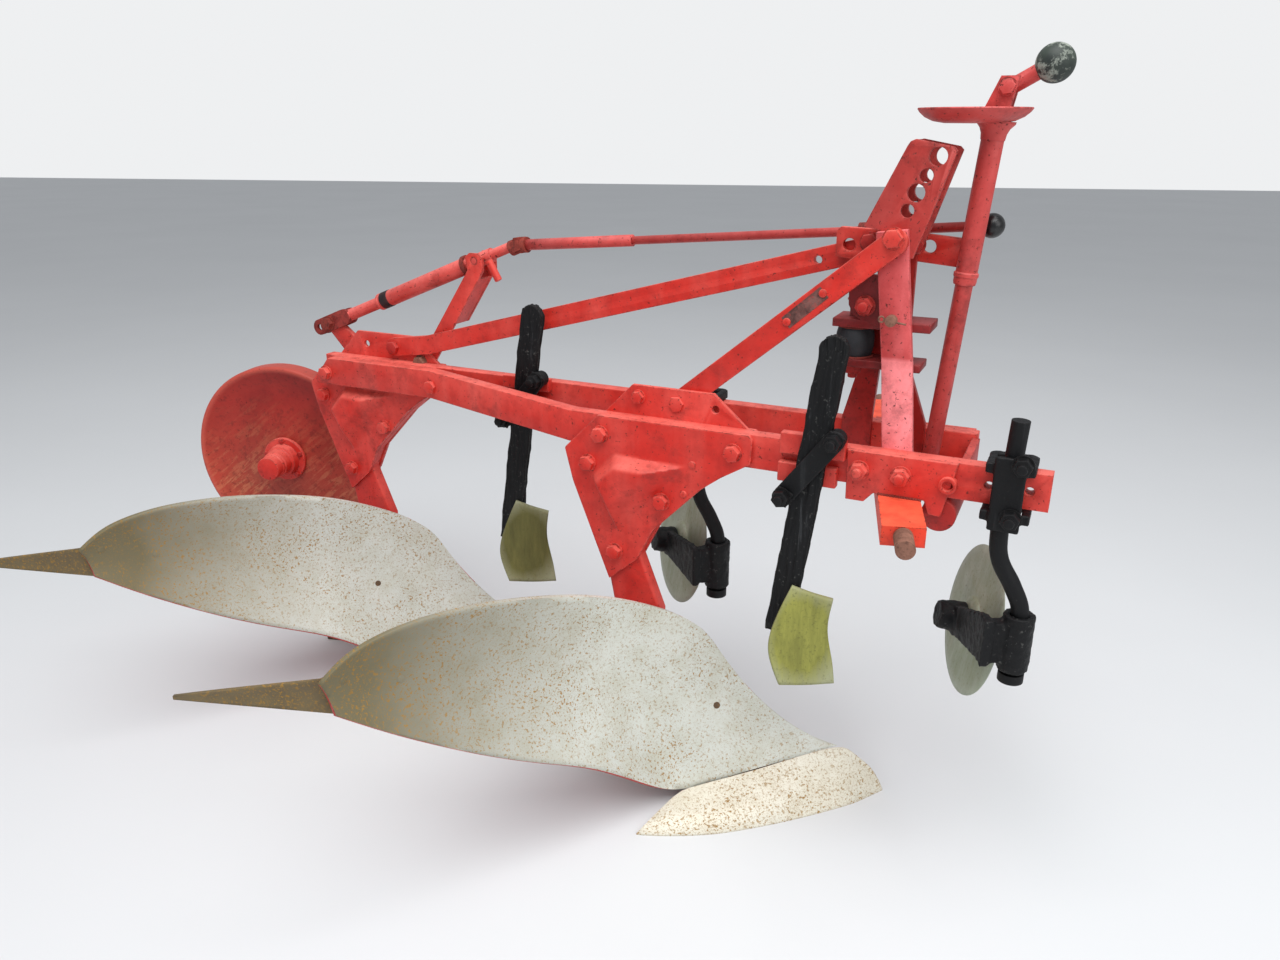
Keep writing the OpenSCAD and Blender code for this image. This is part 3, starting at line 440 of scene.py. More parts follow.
def hexagon(name, width, height, stud, washer=0.0022):
    """One hexagon head on its washer, with a rounded bolt end where stud is above 0."""
    parts = [drum(width * 0.66, 0, washer)] if washer else []
    parts.append(drum(width / math.sqrt(3), washer, washer + height, 6, width * 0.07))
    if stud:
        parts.append(drum(width * 0.32, washer + height, washer + height + stud, 14, width * 0.08))
    piece = joined(parts, name)
    shade(piece)
    return piece


def stand(piece, point, towards, spin=0.0):
    """Puts a piece modelled on Z at a point, standing in a direction."""
    turn = up.rotation_difference(Vector(towards)).to_matrix() @ Matrix.Rotation(spin, 3, "Z")
    piece.matrix_world = Matrix.Translation(Vector(point)) @ turn.to_4x4()


def carried(piece, finish, body="frame", slot="red_paint", replaced=()):
    if finish:
        piece.data.materials.clear()
        piece.data.materials.append(finish)
    if replaced:
        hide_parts(*replaced)
    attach(piece, body)
    return piece


def fasten(name, pattern, spots, finish, body="frame", slot="red_paint"):
    """Copies of one fastener at (point, direction it stands up in), joined into one piece."""
    copies = []
    for i, (point, towards) in enumerate(spots):
        copy = pattern.copy()
        copy.data = pattern.data.copy()
        link(copy)
        stand(copy, point, towards, 0.4 + 1.1 * i)
        copies.append(copy)
    return carried(joined(copies, name), finish, body, slot)


def row(v, towards, *places):
    """Spots for fasten at one distance across the beams, from places (u, z)."""
    return [(beam_point(u, v, z), towards) for u, z in places]


head_large = hexagon("head_large", 0.025, 0.012, 0)
head_m16 = hexagon("head_m16", 0.024, 0.0105, 0)
nut_m16 = hexagon("nut_m16", 0.024, 0.013, 0.008)
head_m12 = hexagon("head_m12", 0.019, 0.008, 0)
rivet = joined([drum(0.0065, -0.001, 0.003, 16, 0.0022)], "rivet")
shade(rivet)
near = -across_beam
far = across_beam

# Link shaft and its brackets
# Plates bolted to the outer faces of both beams hold a square shaft under them. Each end is a
# flat block with a bare, rusty pin for a lower link; the block's paint is the freshest.


def rusty(name, dark, light, fine_scale=110.0):
    f = Finish(name)
    mid = f.noise(22.0, 6)
    fine = f.noise(fine_scale, 5)
    f.colour = f.colours(f.above(mid, 0.5, 0.35), dark, light)
    f.lay(f.above(fine, 0.6, 0.15) * 0.6, rgb(38, 20, 16))
    return f.ends((0.66 + fine * 0.2).clip(), fine + mid * 0.5, 0.0018)


rust_steel = rusty("rusty_steel", rgb(104, 36, 30), rgb(150, 60, 48))
pin_steel = rusty("pin_steel", rgb(92, 58, 46), rgb(150, 106, 88), 160.0)
fresh_red = red_paint("fresh_red_paint", rgb(226, 56, 32), rgb(236, 96, 66), 0.25, 0.4)
link_low, link_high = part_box("cross_shaft")
pin_length = 0.048
blocks_from = link_low[1] + pin_length - 0.0005
blocks_to = link_high[1] - pin_length + 0.0005
# Outer faces of the near plates and of the far ones, in mm across the beams
plate_face = -163
far_plate_face = 37.9
dress("cross_bracket", red, 0.001)
dress("cross_shaft", fresh_red, 0.003, 3, [
    (pin_steel, lambda face: not blocks_from < face.center.y < blocks_to)])
dress("pivot_tube", dark_red, 0.0015)
fasten("bracket_nuts", nut_m16, row(plate_face, near, (-60, 686), (3, 686)), red)
fasten("far_bracket_nuts", nut_m16, row(far_plate_face, far, (-47, 682), (5, 682)), red)


def ring(radius, bore, bottom, top):
    """A short tube standing on Z: a disc is inset, extruded and its lips rounded."""
    piece = cylinder(radius, top - bottom, 32)
    mark(piece, "FACE", piece.data.polygons, lambda face: face.normal.z > 0.9)
    bpy.ops.mesh.inset(thickness=radius - bore)
    bpy.ops.mesh.extrude_region_move(TRANSFORM_OT_translate={"value": (0, 0, -0.8 * (top - bottom))})
    edit_done()
    bevel_where(piece, lambda p: p.z > (top - bottom) / 2 - 0.0001, 0.0012)
    piece.location = (0, 0, (bottom + top) / 2)
    shade(piece)
    return piece


shaft_weld = drum(0.0034, -0.0016, 0.0016, 12, 0.0014)
shade(shaft_weld)
weld_spots = []
weld_bumps = 15
weld_inset = 0.002
for i in range(weld_bumps):
    x = link_low[0] + weld_inset + (link_high[0] - link_low[0] - 2 * weld_inset) * i / (weld_bumps - 1)
    y = beam_origin.y + (plate_face / 1000 - across_beam.x * (x - beam_origin.x)) / across_beam.y
    weld_spots.append(((x, y - 0.0005, link_high[2] + 0.0008), (0.3, -0.4 + 0.1 * (i % 3), 1)))
fasten("shaft_weld_bead", shaft_weld, weld_spots, rust_steel, slot="rusty_steel")
bracket_tube = ring(0.013, 0.0078, -0.001, 0.014)
stand(bracket_tube, beam_point(72, plate_face, 683), near)
carried(settle(bracket_tube, "bracket_tube"), red)

# Mast
# A bent bar on the near side and a spread pair on the far side carry a channel with four
# holes for the top link. The lower half of the near bar has bleached to salmon pink.
faded_red = red_paint("faded_red_paint", rgb(196, 70, 70), rgb(250, 140, 142), 0.35, 1.0, 0.85)
head_red = red_paint("head_red_paint", rgb(172, 52, 46), rgb(206, 98, 92), 0.5, 1.0)
# Far face of the near beam, and near face of the front stay
beam_back = -129
stay_face = -121
dress("mast_near_bar", faded_red, 0.0015)
dress("mast_far_frame", dark_red, 0.001)
dress("mast_head", head_red, 0.0015)
dress("mast_arm", red, 0.0012)
fasten("mast_bolt", head_large, row(stay_face, near, (-47, 1028)), red)
fasten("mast_foot_bolts", head_m16, row(-35, near, (-30, 1012)) + row(-31, near, (-100, 1012)), dark_red)
fasten("mast_far_nuts", nut_m16, row(-7, far, (-66, 1012), (-40, 1000), (20, 1002)), dark_red)
pin_head = drum(0.0085, -0.002, 0.012, 20, 0.002)
cotter = drum(0.0014, -0.011, 0.023, 8, 0.0005)
cotter.rotation_euler = (0, math.radians(90), 0)
cotter.location = (0.006, 0, 0.008)
clear_choice()
bpy.ops.mesh.primitive_torus_add(
    major_segments=16, minor_segments=8, major_radius=0.0042, minor_radius=0.0014)
cotter_eye = bpy.context.object
cotter_eye.location = (-0.0135, 0, 0.008)
mast_pin = joined([pin_head, cotter, cotter_eye], "mast_pin")
shade(mast_pin)
stand(mast_pin, beam_point(-38, beam_back, 912), near, -yaw - 0.14)
carried(settle(mast_pin, "mast_pin"), pin_steel, slot="rusty_steel")

# Stays
# Two flat bars brace the mast back to the leg plates. The front one carries the worn blank
# patch of a lost plate between two rivets; the rear one ends in a spare hole.
dress("front_stay", red, 0.0012)
dress("rear_stay", red, 0.0012)
patch_top = (-145, 943)
patch_foot = (-199, 895)
fasten("front_stay_bolt", head_m16, row(stay_face, near, (-380, 743)), red)
fasten("rear_stay_bolt", head_m16, row(23, near, (-1093, 743)), dark_red)
fasten("patch_rivets", rivet, row(stay_face - 0.8, near, patch_top, patch_foot), red)


def worn_patch():
    f = Finish("worn_patch")
    fine = f.noise(160.0, 5)
    f.colour = f.colours(f.above(f.noise(30.0, 6), 0.5, 0.2), rgb(70, 44, 40), rgb(128, 84, 78))
    f.lay(f.above(fine, 0.6, 0.1) * 0.6, rgb(168, 60, 52))
    return f.ends((0.6 + fine * 0.2).clip(), fine, 0.0008)


def box_block(x, y, z):
    """A box of this size, centred on the origin."""
    clear_choice()
    bpy.ops.mesh.primitive_cube_add(size=1)
    piece = bpy.context.object
    piece.scale = (x, y, z)
    bpy.ops.object.transform_apply(location=False, rotation=False, scale=True)
    return piece


patch = box_block(0.078, 0.0008, 0.021)
bevel_where(patch, lambda p: True, 0.0003)
patch_slope = math.atan2(patch_top[1] - patch_foot[1], patch_top[0] - patch_foot[0])
patch_place = Matrix.Translation(beam_point(-172, stay_face - 0.3, 919))
patch.matrix_world = patch_place @ Matrix.Rotation(-yaw, 4, "Z") @ Matrix.Rotation(-patch_slope, 4, "Y")
carried(settle(patch, "blank_patch"), worn_patch(), slot="rusty_steel")

# Buffer
# A rubber block between two steel discs sits in a bracket beside the mast, with a bolt
# through it and a flat ear above.


def turned(name, profile, centre, axis, finish, body, slot, replaced=(), steps=72, smooth=30):
    """A piece turned on its axis, from (radius, place along the axis) in mm."""
    corners = [(r / 1000, 0, z / 1000) for r, z in profile]
    piece = free_mesh(name, corners, [(i, i + 1) for i in range(len(corners) - 1)], [])
    edit_all()
    bpy.ops.mesh.spin(steps=steps, angle=math.tau, center=(0, 0, 0), axis=(0, 0, 1))
    bpy.ops.mesh.select_all(action="SELECT")
    bpy.ops.mesh.remove_doubles(threshold=same_corner)
    bpy.ops.mesh.normals_make_consistent(inside=False)
    edit_done()
    stand(piece, centre, axis)
    settle(piece, name)
    shade(piece, smooth)
    return carried(piece, finish, body, slot, replaced)


def weathered_rubber():
    f = Finish("weathered_rubber")
    fine = f.noise(90.0, 6)
    dust = f.above(f.noise(20.0, 5, 0.65), 0.5, 0.3)
    f.colour = f.colours(dust * 0.5, rgb(26, 27, 30), rgb(58, 60, 64))
    return f.ends((0.5 + fine * 0.2).clip(), fine, 0.0008)


rubber_profile = [(0, 3.4), (26.2, 3.4), (27.2, 6), (29.2, 14), (29.8, 25), (29.2, 36), (27.2, 44),
                  (26.2, 46.6), (0, 46.6)]
disc_profile = [(0, 0.2), (28.5, 0.2), (29.2, 0.8), (29.2, 2.6), (28.5, 3.2), (0, 3.2)]
buffer_u = -104
buffer_v = -64
buffer_z = 840
turned("buffer_rubber", rubber_profile, beam_point(buffer_u, buffer_v, buffer_z), up,
       weathered_rubber(), "frame", "rubber", ["buffer"])
for disc_name, disc_z in (("buffer_lower_disc", buffer_z), ("buffer_upper_disc", 886.6)):
    turned(disc_name, disc_profile, beam_point(buffer_u, buffer_v, disc_z), up, rust_steel,
           "frame", "rusty_steel")
maroon = red_paint("maroon_paint", rgb(118, 24, 26), rgb(158, 62, 62), 0.8, 1.0)
dress("buffer_bracket", maroon, 0.0012)
buffer_ends = row(buffer_v, -up, (buffer_u, 828)) + row(buffer_v, up, (buffer_u, 928))
fasten("buffer_bolts", nut_m16, buffer_ends, dark_red)
ear_face = -97
ear_outline = [(-58, 972), (-98, 972), (-108, 963), (-112, 946), (-111, 925), (-103, 910), (-86, 900),
               (-58, 894)]
slab("buffer_ear", ear_outline, ear_face, -90, maroon)
fasten("buffer_ear_nut", nut_m16, row(ear_face, near, (-85, 925)), dark_red)

# Width crank
# A thin crimson tube stands in the brackets and ends in a dish with a hinged handle above it.
# The handle's ball is dull grey-green iron with pale flakes.


def flaked_iron():
    f = Finish("flaked_ball")
    flakes = f.above(f.noise(30.0, 7, 0.75), 0.55, 0.06)
    moss = f.above(f.noise(14.0, 4, 0.6), 0.5, 0.3)
    f.colour = f.colours(moss, rgb(40, 46, 44), rgb(66, 76, 66))
    f.lay(flakes * 0.85, rgb(150, 156, 146))
    return f.ends((0.5 + flakes * 0.3).clip(), flakes * 0.6, 0.0012)


crimson = red_paint("crimson_paint", rgb(196, 66, 62), rgb(214, 104, 100), 0.4, 0.9)
ball_iron = flaked_iron()
crank_v = -35.3
crank_foot = beam_point(24, crank_v, 663)
crank_top = beam_point(64, crank_v, 1183)
crank_axis = (crank_top - crank_foot).normalized()
ball_centre = beam_point(132, -41.3, 1260)
dress("crank_tube", crimson, 0.001)
saucer = [(0, 0), (40, 0.4), (56, 3), (68, 8.5), (75.5, 15), (78.8, 19.6), (78, 21), (75.6, 20),
          (67, 12.4), (54, 7.4), (38, 5), (0, 4.4)]
turned("crank_saucer", saucer, beam_point(33.5, crank_v, 1183.5), up, crimson, "frame", "faded_red",
       ["crank_dish"])
flare_profile = [(16.8, -22), (18, -13), (21, -6), (27, 0.5), (27.5, 4), (0, 4)]
turned("crank_flare", flare_profile, crank_top, crank_axis, crimson, "frame", "faded_red", steps=40)
dress("crank_handle", crimson, 0.0015, areas=[
    (ball_iron, lambda face: (face.center - ball_centre).length < 0.0272)])
collar_profile = [(12.8, -11), (16, -10), (17, -6), (17, 0), (18.2, 2), (18.2, 7), (16, 9)]
turned("crank_collar", collar_profile, crank_foot.lerp(crank_top, 0.585), crank_axis, crimson,
       "frame", "faded_red", steps=40)
handle_pin = beam_point(76, crank_v, 1231)
pin_ends = [(handle_pin + side * 0.0192, side) for side in (near, far)]
fasten("handle_pin_ends", head_m12, pin_ends, crimson, slot="faded_red")

# Turning rod and its joint
# A thin rod runs from a black ball beside the mast, through an eye, to a rusty universal
# joint: two forks that hold a small cross.


def dusty(name, dark, dust, scale, level, rough, depth, specular=0.35):
    """A dark skin with dust on its specks."""
    f = Finish(name)
    specks = f.noise(scale, 5)
    f.colour = f.colours(f.above(specks, level, 0.2) * 0.4, dark, dust)
    return f.ends((rough + specks * 0.2).clip(), specks, depth, specular=specular)


knob = dusty("black_knob", rgb(12, 12, 14), rgb(70, 70, 70), 60.0, 0.6, 0.22, 0.0004, 0.5)
# Where the screw's tube rocks and where its rod ends, in mm along the beams and up
screw_v = 64
tube_pin = (-890, 931)
lever_pin = (-1293, 772)
joint_reach = 86
screw_slope = Vector((tube_pin[0] - lever_pin[0], 0, tube_pin[1] - lever_pin[1])).normalized()
joint_centre = beam_point(
    tube_pin[0] + joint_reach * screw_slope.x, screw_v, tube_pin[1] + joint_reach * screw_slope.z)
rod_end = beam_point(72, 8, 1040)
rod_axis = (rod_end - joint_centre).normalized()
screw_axis = along_beam * screw_slope.x + up * screw_slope.z
knob_radius = 0.0185
dress("turn_rod", crimson, 0, areas=[
    (knob, lambda face: (face.center - rod_end).length < knob_radius + 0.001)])
dress("rod_guide", rust_steel, 0.001)


def fork(name, foot, axis, side):
    """Half of the joint: a collar with two ears that hold the cross."""
    length = 0.029
    parts = [drum(0.0150, 0, length * 0.42, 28, 0.0015)]
    for turn in (-1, 1):
        ear = box_block(0.020, 0.0062, length * 0.72)
        bevel_where(ear, lambda p: p.z > 0, 0.0058, 4)
        ear.location = (0, turn * 0.0118, length * 0.66)
        parts.append(ear)
    piece = joined(parts, name)
    shade(piece)
    across_fork = (side - axis * side.dot(axis)).normalized()
    turned_to = Matrix((across_fork.cross(axis), across_fork, axis)).transposed().to_4x4()
    piece.matrix_world = Matrix.Translation(foot) @ turned_to
    return settle(piece, name)


joint_middle = joint_centre + rod_axis * 0.012
fork_reach = 0.0195
tube_fork = fork("tube_fork", joint_middle - screw_axis * fork_reach, screw_axis, far)
rod_fork = fork("rod_fork", joint_middle + rod_axis * fork_reach, -rod_axis, up)
joint_cross = hexagon("joint_cross", 0.015, 0.030, 0, 0)
joint_cross.location = (0, 0, -0.015)
settle(joint_cross, "joint_cross")
stand(joint_cross, joint_middle, far)
carried(joined([tube_fork, rod_fork, settle(joint_cross, "joint_cross")], "turn_joint_forks"), rust_steel,
        slot="rusty_steel", replaced=["turn_joint"])

# Depth screw
# A tube rocks on a trunnion between the ears of a channel post; a rusty rod slides in it and
# ends in a fork on the lever. A black band marks the tube and a ring closes its end.
band_finish = dusty("black_band", rgb(34, 22, 24), rgb(92, 44, 42), 80.0, 0.55, 0.5, 0.0006)
tube_red = red_paint("tube_red_paint", rgb(200, 62, 54), rgb(232, 120, 112), 0.35, 0.9)
dress("screw_post", red, 0.001)
dress("screw_tube", tube_red, 0.001)
trunnion = beam_point(tube_pin[0], screw_v, tube_pin[1])
fork_steel = rusty("fork_steel", rgb(112, 34, 30), rgb(156, 58, 50))
painted_from = -0.372
dress("screw_rod", fork_steel, 0.0015, areas=[
    (tube_red, lambda face: (face.center - trunnion).dot(screw_axis) > painted_from)])
ring_bore = 16.8
ring_lip = 0.8
# Name, place along the tube in metres, half width and radius in mm, finish, slot
for name, place, half, radius, finish, slot in (
        ("tube_band", -0.262, 11, 17.8, band_finish, "black_paint"),
        ("tube_ring", -0.037, 4.5, 20.5, rust_steel, "rusty_steel"),
        ("tube_end_ring", -0.280, 3, 17.8, tube_red, "faded_red")):
    profile = [(ring_bore, -half), (radius - ring_lip, -half), (radius, ring_lip - half),
               (radius, half - ring_lip), (radius - ring_lip, half), (ring_bore, half)]
    turned(name, profile, trunnion + screw_axis * place, screw_axis, finish, "screw_tube", slot, steps=48)
trunnion_head = hexagon("trunnion_head", 0.022, 0.007, 0, 0)
fasten("trunnion_ends", trunnion_head, row(90.3, far, tube_pin), red)
fasten("screw_pin", nut_m16, row(78.0, far, lever_pin), rust_steel, "screw_rod", "rusty_steel")
fasten("screw_pin_head", head_m16, row(50.0, near, lever_pin), rust_steel, "screw_rod", "rusty_steel")
post_peg = joined([drum(0.0075, 0, 0.044, 20, 0.002)], "post_peg")
shade(post_peg)
stand(post_peg, beam_point(-856, 40, 934), along_beam * 0.5 - up * 0.87)
carried(settle(post_peg, "post_peg"), red)
post_bolts = row(29.9, near, (-1032, 715)) + row(44, far, (-1040, 712))
fasten("post_bolts", head_m16, post_bolts, pin_steel, slot="rusty_steel")

# Depth wheel
# A plain steel disc, dished and rolled round at the rim, turns on a flanged hub at the end of
# the arm. Stones have scoured its lower half to bare ochre streaks.


def scoured_wheel(centre):
    f = Finish("scoured_wheel")
    broad = f.noise(6.0, 5, 0.6)
    fine = f.noise(70.0, 6)
    scratch = f.noise(13.0, 6, 0.72, stretch=(1, 1, 6), turn=(0, math.radians(-38), 0))
    patches = f.noise(9.0, 6)
    out = f.away(centre, (1, 0, 1))
    low = 1 - f.above(f.along(2) + broad * 0.16, centre.z + 0.11, 0.22)
    f.colour = f.colours(f.above(broad, 0.5, 0.3), rgb(146, 30, 25), rgb(176, 48, 38))
    worn = f.above(scratch, 0.53, 0.08) * 0.7 * f.above(patches, 0.42, 0.2)
    worn = worn + f.above(patches, 0.6, 0.15) * 0.35
    f.lay((low * (worn + 0.25)).clip() * 0.75, rgb(196, 116, 82))
    f.lay(f.above(fine, 0.58, 0.12) * 0.5, rgb(104, 30, 24))
    rim = f.above(out, 0.214, 0.008)
    f.lay(rim * 0.5, rgb(206, 96, 80))
    pits = f.above(f.noise(170.0, 3), 0.67, 0.03)
    f.lay(pits * 0.8, rgb(50, 22, 17))
    return f.ends((0.44 + fine * 0.15 + pits * 0.2).clip(), scratch * 0.35 + fine * 0.4, 0.0009)


wheel_centre = Vector((-0.639, 0.399, 0.425))
wheel_axis = Vector((0, 1, 0))
outer_side = [(31.2, 0.2), (50, 0.6), (75, 2.8), (105, 7.5), (130, 11.5), (150, 12.5), (172, 10.5),
              (192, 5.5), (206, 0)]
rolled_rim = [(215, -4.2), (219.5, -5.8), (223.5, -4.5), (226, -0.5), (226, 4), (226, 36), (225.2, 40.5),
              (222.5, 42), (220, 40.5), (220, 8), (216.5, 3)]
disc_thickness = 6
inner_side = [(r, z + disc_thickness) for r, z in reversed(outer_side)]
turned("wheel_disc", outer_side + rolled_rim + inner_side + [outer_side[0]], wheel_centre, wheel_axis,
       scoured_wheel(wheel_centre), "depth_wheel", "red_paint", ["depth_wheel"], 96, 40)
hub = [(0, -84), (24.5, -84), (26.5, -83.2), (27.5, -81), (27.5, -62), (29, -60.5), (29.6, -57.5),
       (29, -54.5), (31.2, -53), (31.2, -31), (33, -29), (36.5, -27.8), (37.2, -26), (37.2, -13.5),
       (39.5, -9.5), (51.5, -8.8), (52.8, -7.6), (53, -1.2), (52.2, -0.4), (30.8, -0.4), (30.8, 38.5),
       (29.8, 40), (16.5, 40), (16, 39.5), (16, 4), (0, 4)]
turned("wheel_hub", hub, wheel_centre, wheel_axis, red, "depth_wheel", "red_paint", ["depth_hub"], 64, 35)
hub_bolts = []
bolt_circle = 0.0455
bolt_count = 5
for i in range(bolt_count):
    angle = 0.35 + math.tau * i / bolt_count
    offset = Vector((bolt_circle * math.cos(angle), -0.0088, bolt_circle * math.sin(angle)))
    hub_bolts.append((wheel_centre + offset, -wheel_axis))
hub_head = hexagon("head_hub", 0.011, 0.005, 0, 0)
fasten("hub_bolts", hub_head, hub_bolts, dark_red, "depth_wheel")
dress("depth_bracket", dark_red, 0.001)
dress("depth_lever", red, 0.0012)
dress("depth_arm", dark_red, 0.0015)

# Legs and their plates
# Each furrow body hangs on a leg cut from thick plate, clasped between a flat far plate and a
# near plate of 8 mm steel, pressed with a blunt pocket that stiffens it.
plate_outline = [(-513, 0), (-578, -66), (-563, -126), (-493, -304), (-438, -256), (-408, -196),
                 (-320, -105), (-284, -78), (-235, -48), (-233, -8), (-240, 0)]
beam_top = 716
# Corners of the pocket, how far each side ramps, and its depth, all in mm
pocket = [(-524, 605), (-480, 650), (-348, 646), (-474, 508)]
pocket_ramps = [17, 15, 40, 16]
pocket_depth = 28
pocket_crispness = 18.0
pocket_foot = 30


def outline_limits(z):
    """Where the plate's outline begins and ends along the beam at height z."""
    crossings = []
    for (u0, z0), (u1, z1) in zip(plate_outline, plate_outline[1:] + plate_outline[:1]):
        if z0 != z1 and min(z0, z1) <= z - beam_top <= max(z0, z1):
            crossings.append(u0 + (u1 - u0) * (z - beam_top - z0) / (z1 - z0))
    return min(crossings), max(crossings)


def pocket_height(u, z):
    """How far the pressed pocket stands out at a place on the plate."""
    rise = math.exp(-pocket_crispness)
    for i, ramp in enumerate(pocket_ramps):
        (u0, z0), (u1, z1) = pocket[i], pocket[(i + 1) % len(pocket)]
        length = math.hypot(u1 - u0, z1 - z0)
        inside = ((u - u0) * (z1 - z0) - (z - z0) * (u1 - u0)) / length
        rise += math.exp(-pocket_crispness * inside / ramp)
    share = -math.log(rise) / pocket_crispness
    return pocket_depth * math.log(1 + math.exp(pocket_foot * share)) / pocket_foot


def pressed_plate(name, node, du, face_v):
    columns, rows = 72, 90
    clear_choice()
    bpy.ops.mesh.primitive_grid_add(x_subdivisions=columns, y_subdivisions=rows, size=1)
    piece = bpy.context.object
    low = beam_top + min(z for u, z in plate_outline)
    for vertex in piece.data.vertices:
        z = low + 1.0 + (beam_top - low - 1.0) * (vertex.co.y + 0.5)
        begin, end = outline_limits(min(z, beam_top - 0.01))
        u = begin + (end - begin) * (vertex.co.x + 0.5)
        vertex.co = beam_point(u + du, face_v - pocket_height(u, z), z)
    edit_all()
    bpy.ops.mesh.normals_make_consistent(inside=False)
    edit_done()
    if sum(face.normal.dot(near) for face in piece.data.polygons) < 0:
        piece.data.flip_normals()
    modify(piece, "wall", "SOLIDIFY", thickness=0.0078, offset=-1)
    round_edges(piece, 0.0013, 2, 50, False)
    apply_modifiers(piece)
    settle(piece, name)
    shade(piece, 50)
    return carried(piece, red, slot=slots[node], replaced=[node])


def apply_modifiers(piece):
    choose(piece)
    for modifier in list(piece.modifiers):
        bpy.ops.object.modifier_apply(modifier=modifier.name)


body_step = (-734.35, 158.85)
beam_face = -155
leg_outline = [(-545, 659), (-487, 358), (-470, 112), (-400, 112), (-394, 363), (-436, 470), (-412, 516),
               (-324, 606), (-288, 634), (-262, 659)]
for side, (du, dv) in (("front", (0, 0)), ("rear", body_step)):
    pressed_plate(side + "_pressed_plate", side + "_near_plate", du, plate_face + dv)
    outline = [(u + du, z) for u, z in leg_outline]
    slab(side + "_plate_leg", outline, beam_face + dv, beam_back + dv, red, 0.006, slots[side + "_leg"],
         [side + "_leg"])
    dress(side + "_far_plate", red, 0.0012)
plate_bolts = [(-507, 683), (-532, 628), (-265, 684), (-391, 578), (-481, 468)]
rear_beam_bolt = (-1240, 684)
rear_bolts = [(-1278, 626), (-1117, 571), (-1219, 463)]
fasten("front_plate_bolts", head_m16, row(plate_face, near, *plate_bolts), red)
fasten("front_plate_nuts", nut_m16, row(stay_face, far, *plate_bolts), red)
fasten("front_plate_rivets", rivet, row(plate_face, near, (-335, 653), (-350, 598)), red)
fasten("front_small_bolt", head_m12, row(beam_back, near, (-450, 748)), red)
fasten("rear_beam_bolts", head_m16, row(-30.2, near, rear_beam_bolt, (-962, 684)), red)
fasten("rear_plate_bolts", head_m16, row(-4.2, near, *rear_bolts), red)
fasten("rear_plate_nuts", nut_m16, row(far_plate_face, far, rear_beam_bolt, *rear_bolts), red)

# Moldboards, shares and what carries them
# Boards and shares are hardened steel that the soil has silvered; they have gone dull pale
# grey with a fine speckle of rust. The frog, landside and the tail that carries the slice on
# are brown and the backs are still red.


def soil_steel(name, clean, tint, growth, speckle, tail=None, metallic=0.15):
    """Pale worn steel; tail is where, along X, the olive darkening towards the tail end has faded out and
    where it is full.
    """
    f = Finish(name)
    broad = f.noise(4.0, 5, 0.6)
    mid = f.noise(18.0, 6)
    fine = f.noise(430.0, 3)
    clouds = f.above(f.noise(8.0, 6, 0.72), 0.5, 0.3)
    f.colour = f.colours(f.above(broad, 0.5, 0.4), clean, tint)
    f.lay(f.above(mid, 0.55, 0.25) * 0.35, growth)
    if tail:
        # Darker and olive towards the tail end of the board
        middle = (tail[0] + tail[1]) / 2 + 0.13
        tail_darkening = 1 - f.above(f.along(0) + broad * 0.14, middle, tail[0] - tail[1])
        f.lay(tail_darkening, rgb(112, 105, 80))
    dots = f.above(f.noise(210.0, 2, 0.6), 0.63 - 0.03 * speckle, 0.06) * (0.25 + clouds * 0.75)
    specks = f.above(fine, 0.62 - 0.03 * speckle, 0.08) * (0.2 + clouds * 0.5)
    rust = (dots + specks).clip()
    f.lay(rust, f.colours(mid, rgb(172, 134, 62), rgb(132, 94, 42)))
    f.lay(f.edges(0.0012) * 0.3, rgb(140, 96, 64))
    rough = (0.42 + rust * 0.3 + broad * 0.12).clip()
    height = mid * 0.2 - rust * 0.3 + fine * 0.15
    shine = (metallic - rust * metallic).clip()
    return f.ends(rough, height, 0.0006, metallic=shine)


def merged_copy(node, name):
    """A free copy of a CAD node, with its corners joined."""
    piece = nodes[node].copy()
    piece.data = nodes[node].data.copy()
    piece.parent = None
    piece.name = name
    for key in list(piece.keys()):
        del piece[key]
    link(piece)
    choose(piece)
    edit_all()
    bpy.ops.mesh.remove_doubles(threshold=same_corner)
    edit_done()
    return piece


def smooth_sheet(node, name, eye, front, back, levels, swell=0.0):
    """A curved sheet of finer faces, one finish on the side that the eye's place sees."""
    piece = merged_copy(node, name)
    piece.data.materials.clear()
    piece.data.materials.append(front)
    piece.data.materials.append(back)
    edit_all()
    bpy.ops.mesh.tris_convert_to_quads(face_threshold=math.radians(50), shape_threshold=math.radians(70))
    bpy.ops.mesh.select_mode(type="EDGE")
    bpy.ops.mesh.select_all(action="DESELECT")
    bpy.ops.mesh.edges_select_sharp(sharpness=math.radians(45))
    bpy.ops.transform.edge_crease(value=1.0)
    edit_done()
    for face in piece.data.polygons:
        seen = face.normal.dot((eye - face.center).normalized()) > 0.12
        face.material_index = 0 if seen else 1
    modify(piece, "finer", "SUBSURF", levels=levels, render_levels=levels)
    if swell:
        modify(piece, "skin", "DISPLACE", strength=swell, mid_level=0)
    apply_modifiers(piece)
    shade(piece, 45)
    return carried(piece, None, slot=slots[node], replaced=[node])


board_back = red_paint("board_back_paint", rgb(190, 40, 32), rgb(212, 92, 84), 0.35, 1.0)
tail_steel = soil_steel("tail_steel", rgb(112, 98, 70), rgb(92, 78, 56), rgb(130, 116, 78), 1.0, metallic=0.0)
frog_steel = soil_steel("frog_steel", rgb(96, 74, 56), rgb(74, 56, 42), rgb(92, 78, 56), 1.0, metallic=0.0)
share_steel = soil_steel("share_steel", rgb(232, 228, 214), rgb(214, 210, 194), rgb(190, 176, 146), 1.4)
behind = Vector((-0.67, 0.34, 0))
eye_point = Vector((0.485, -0.9, 1.0))
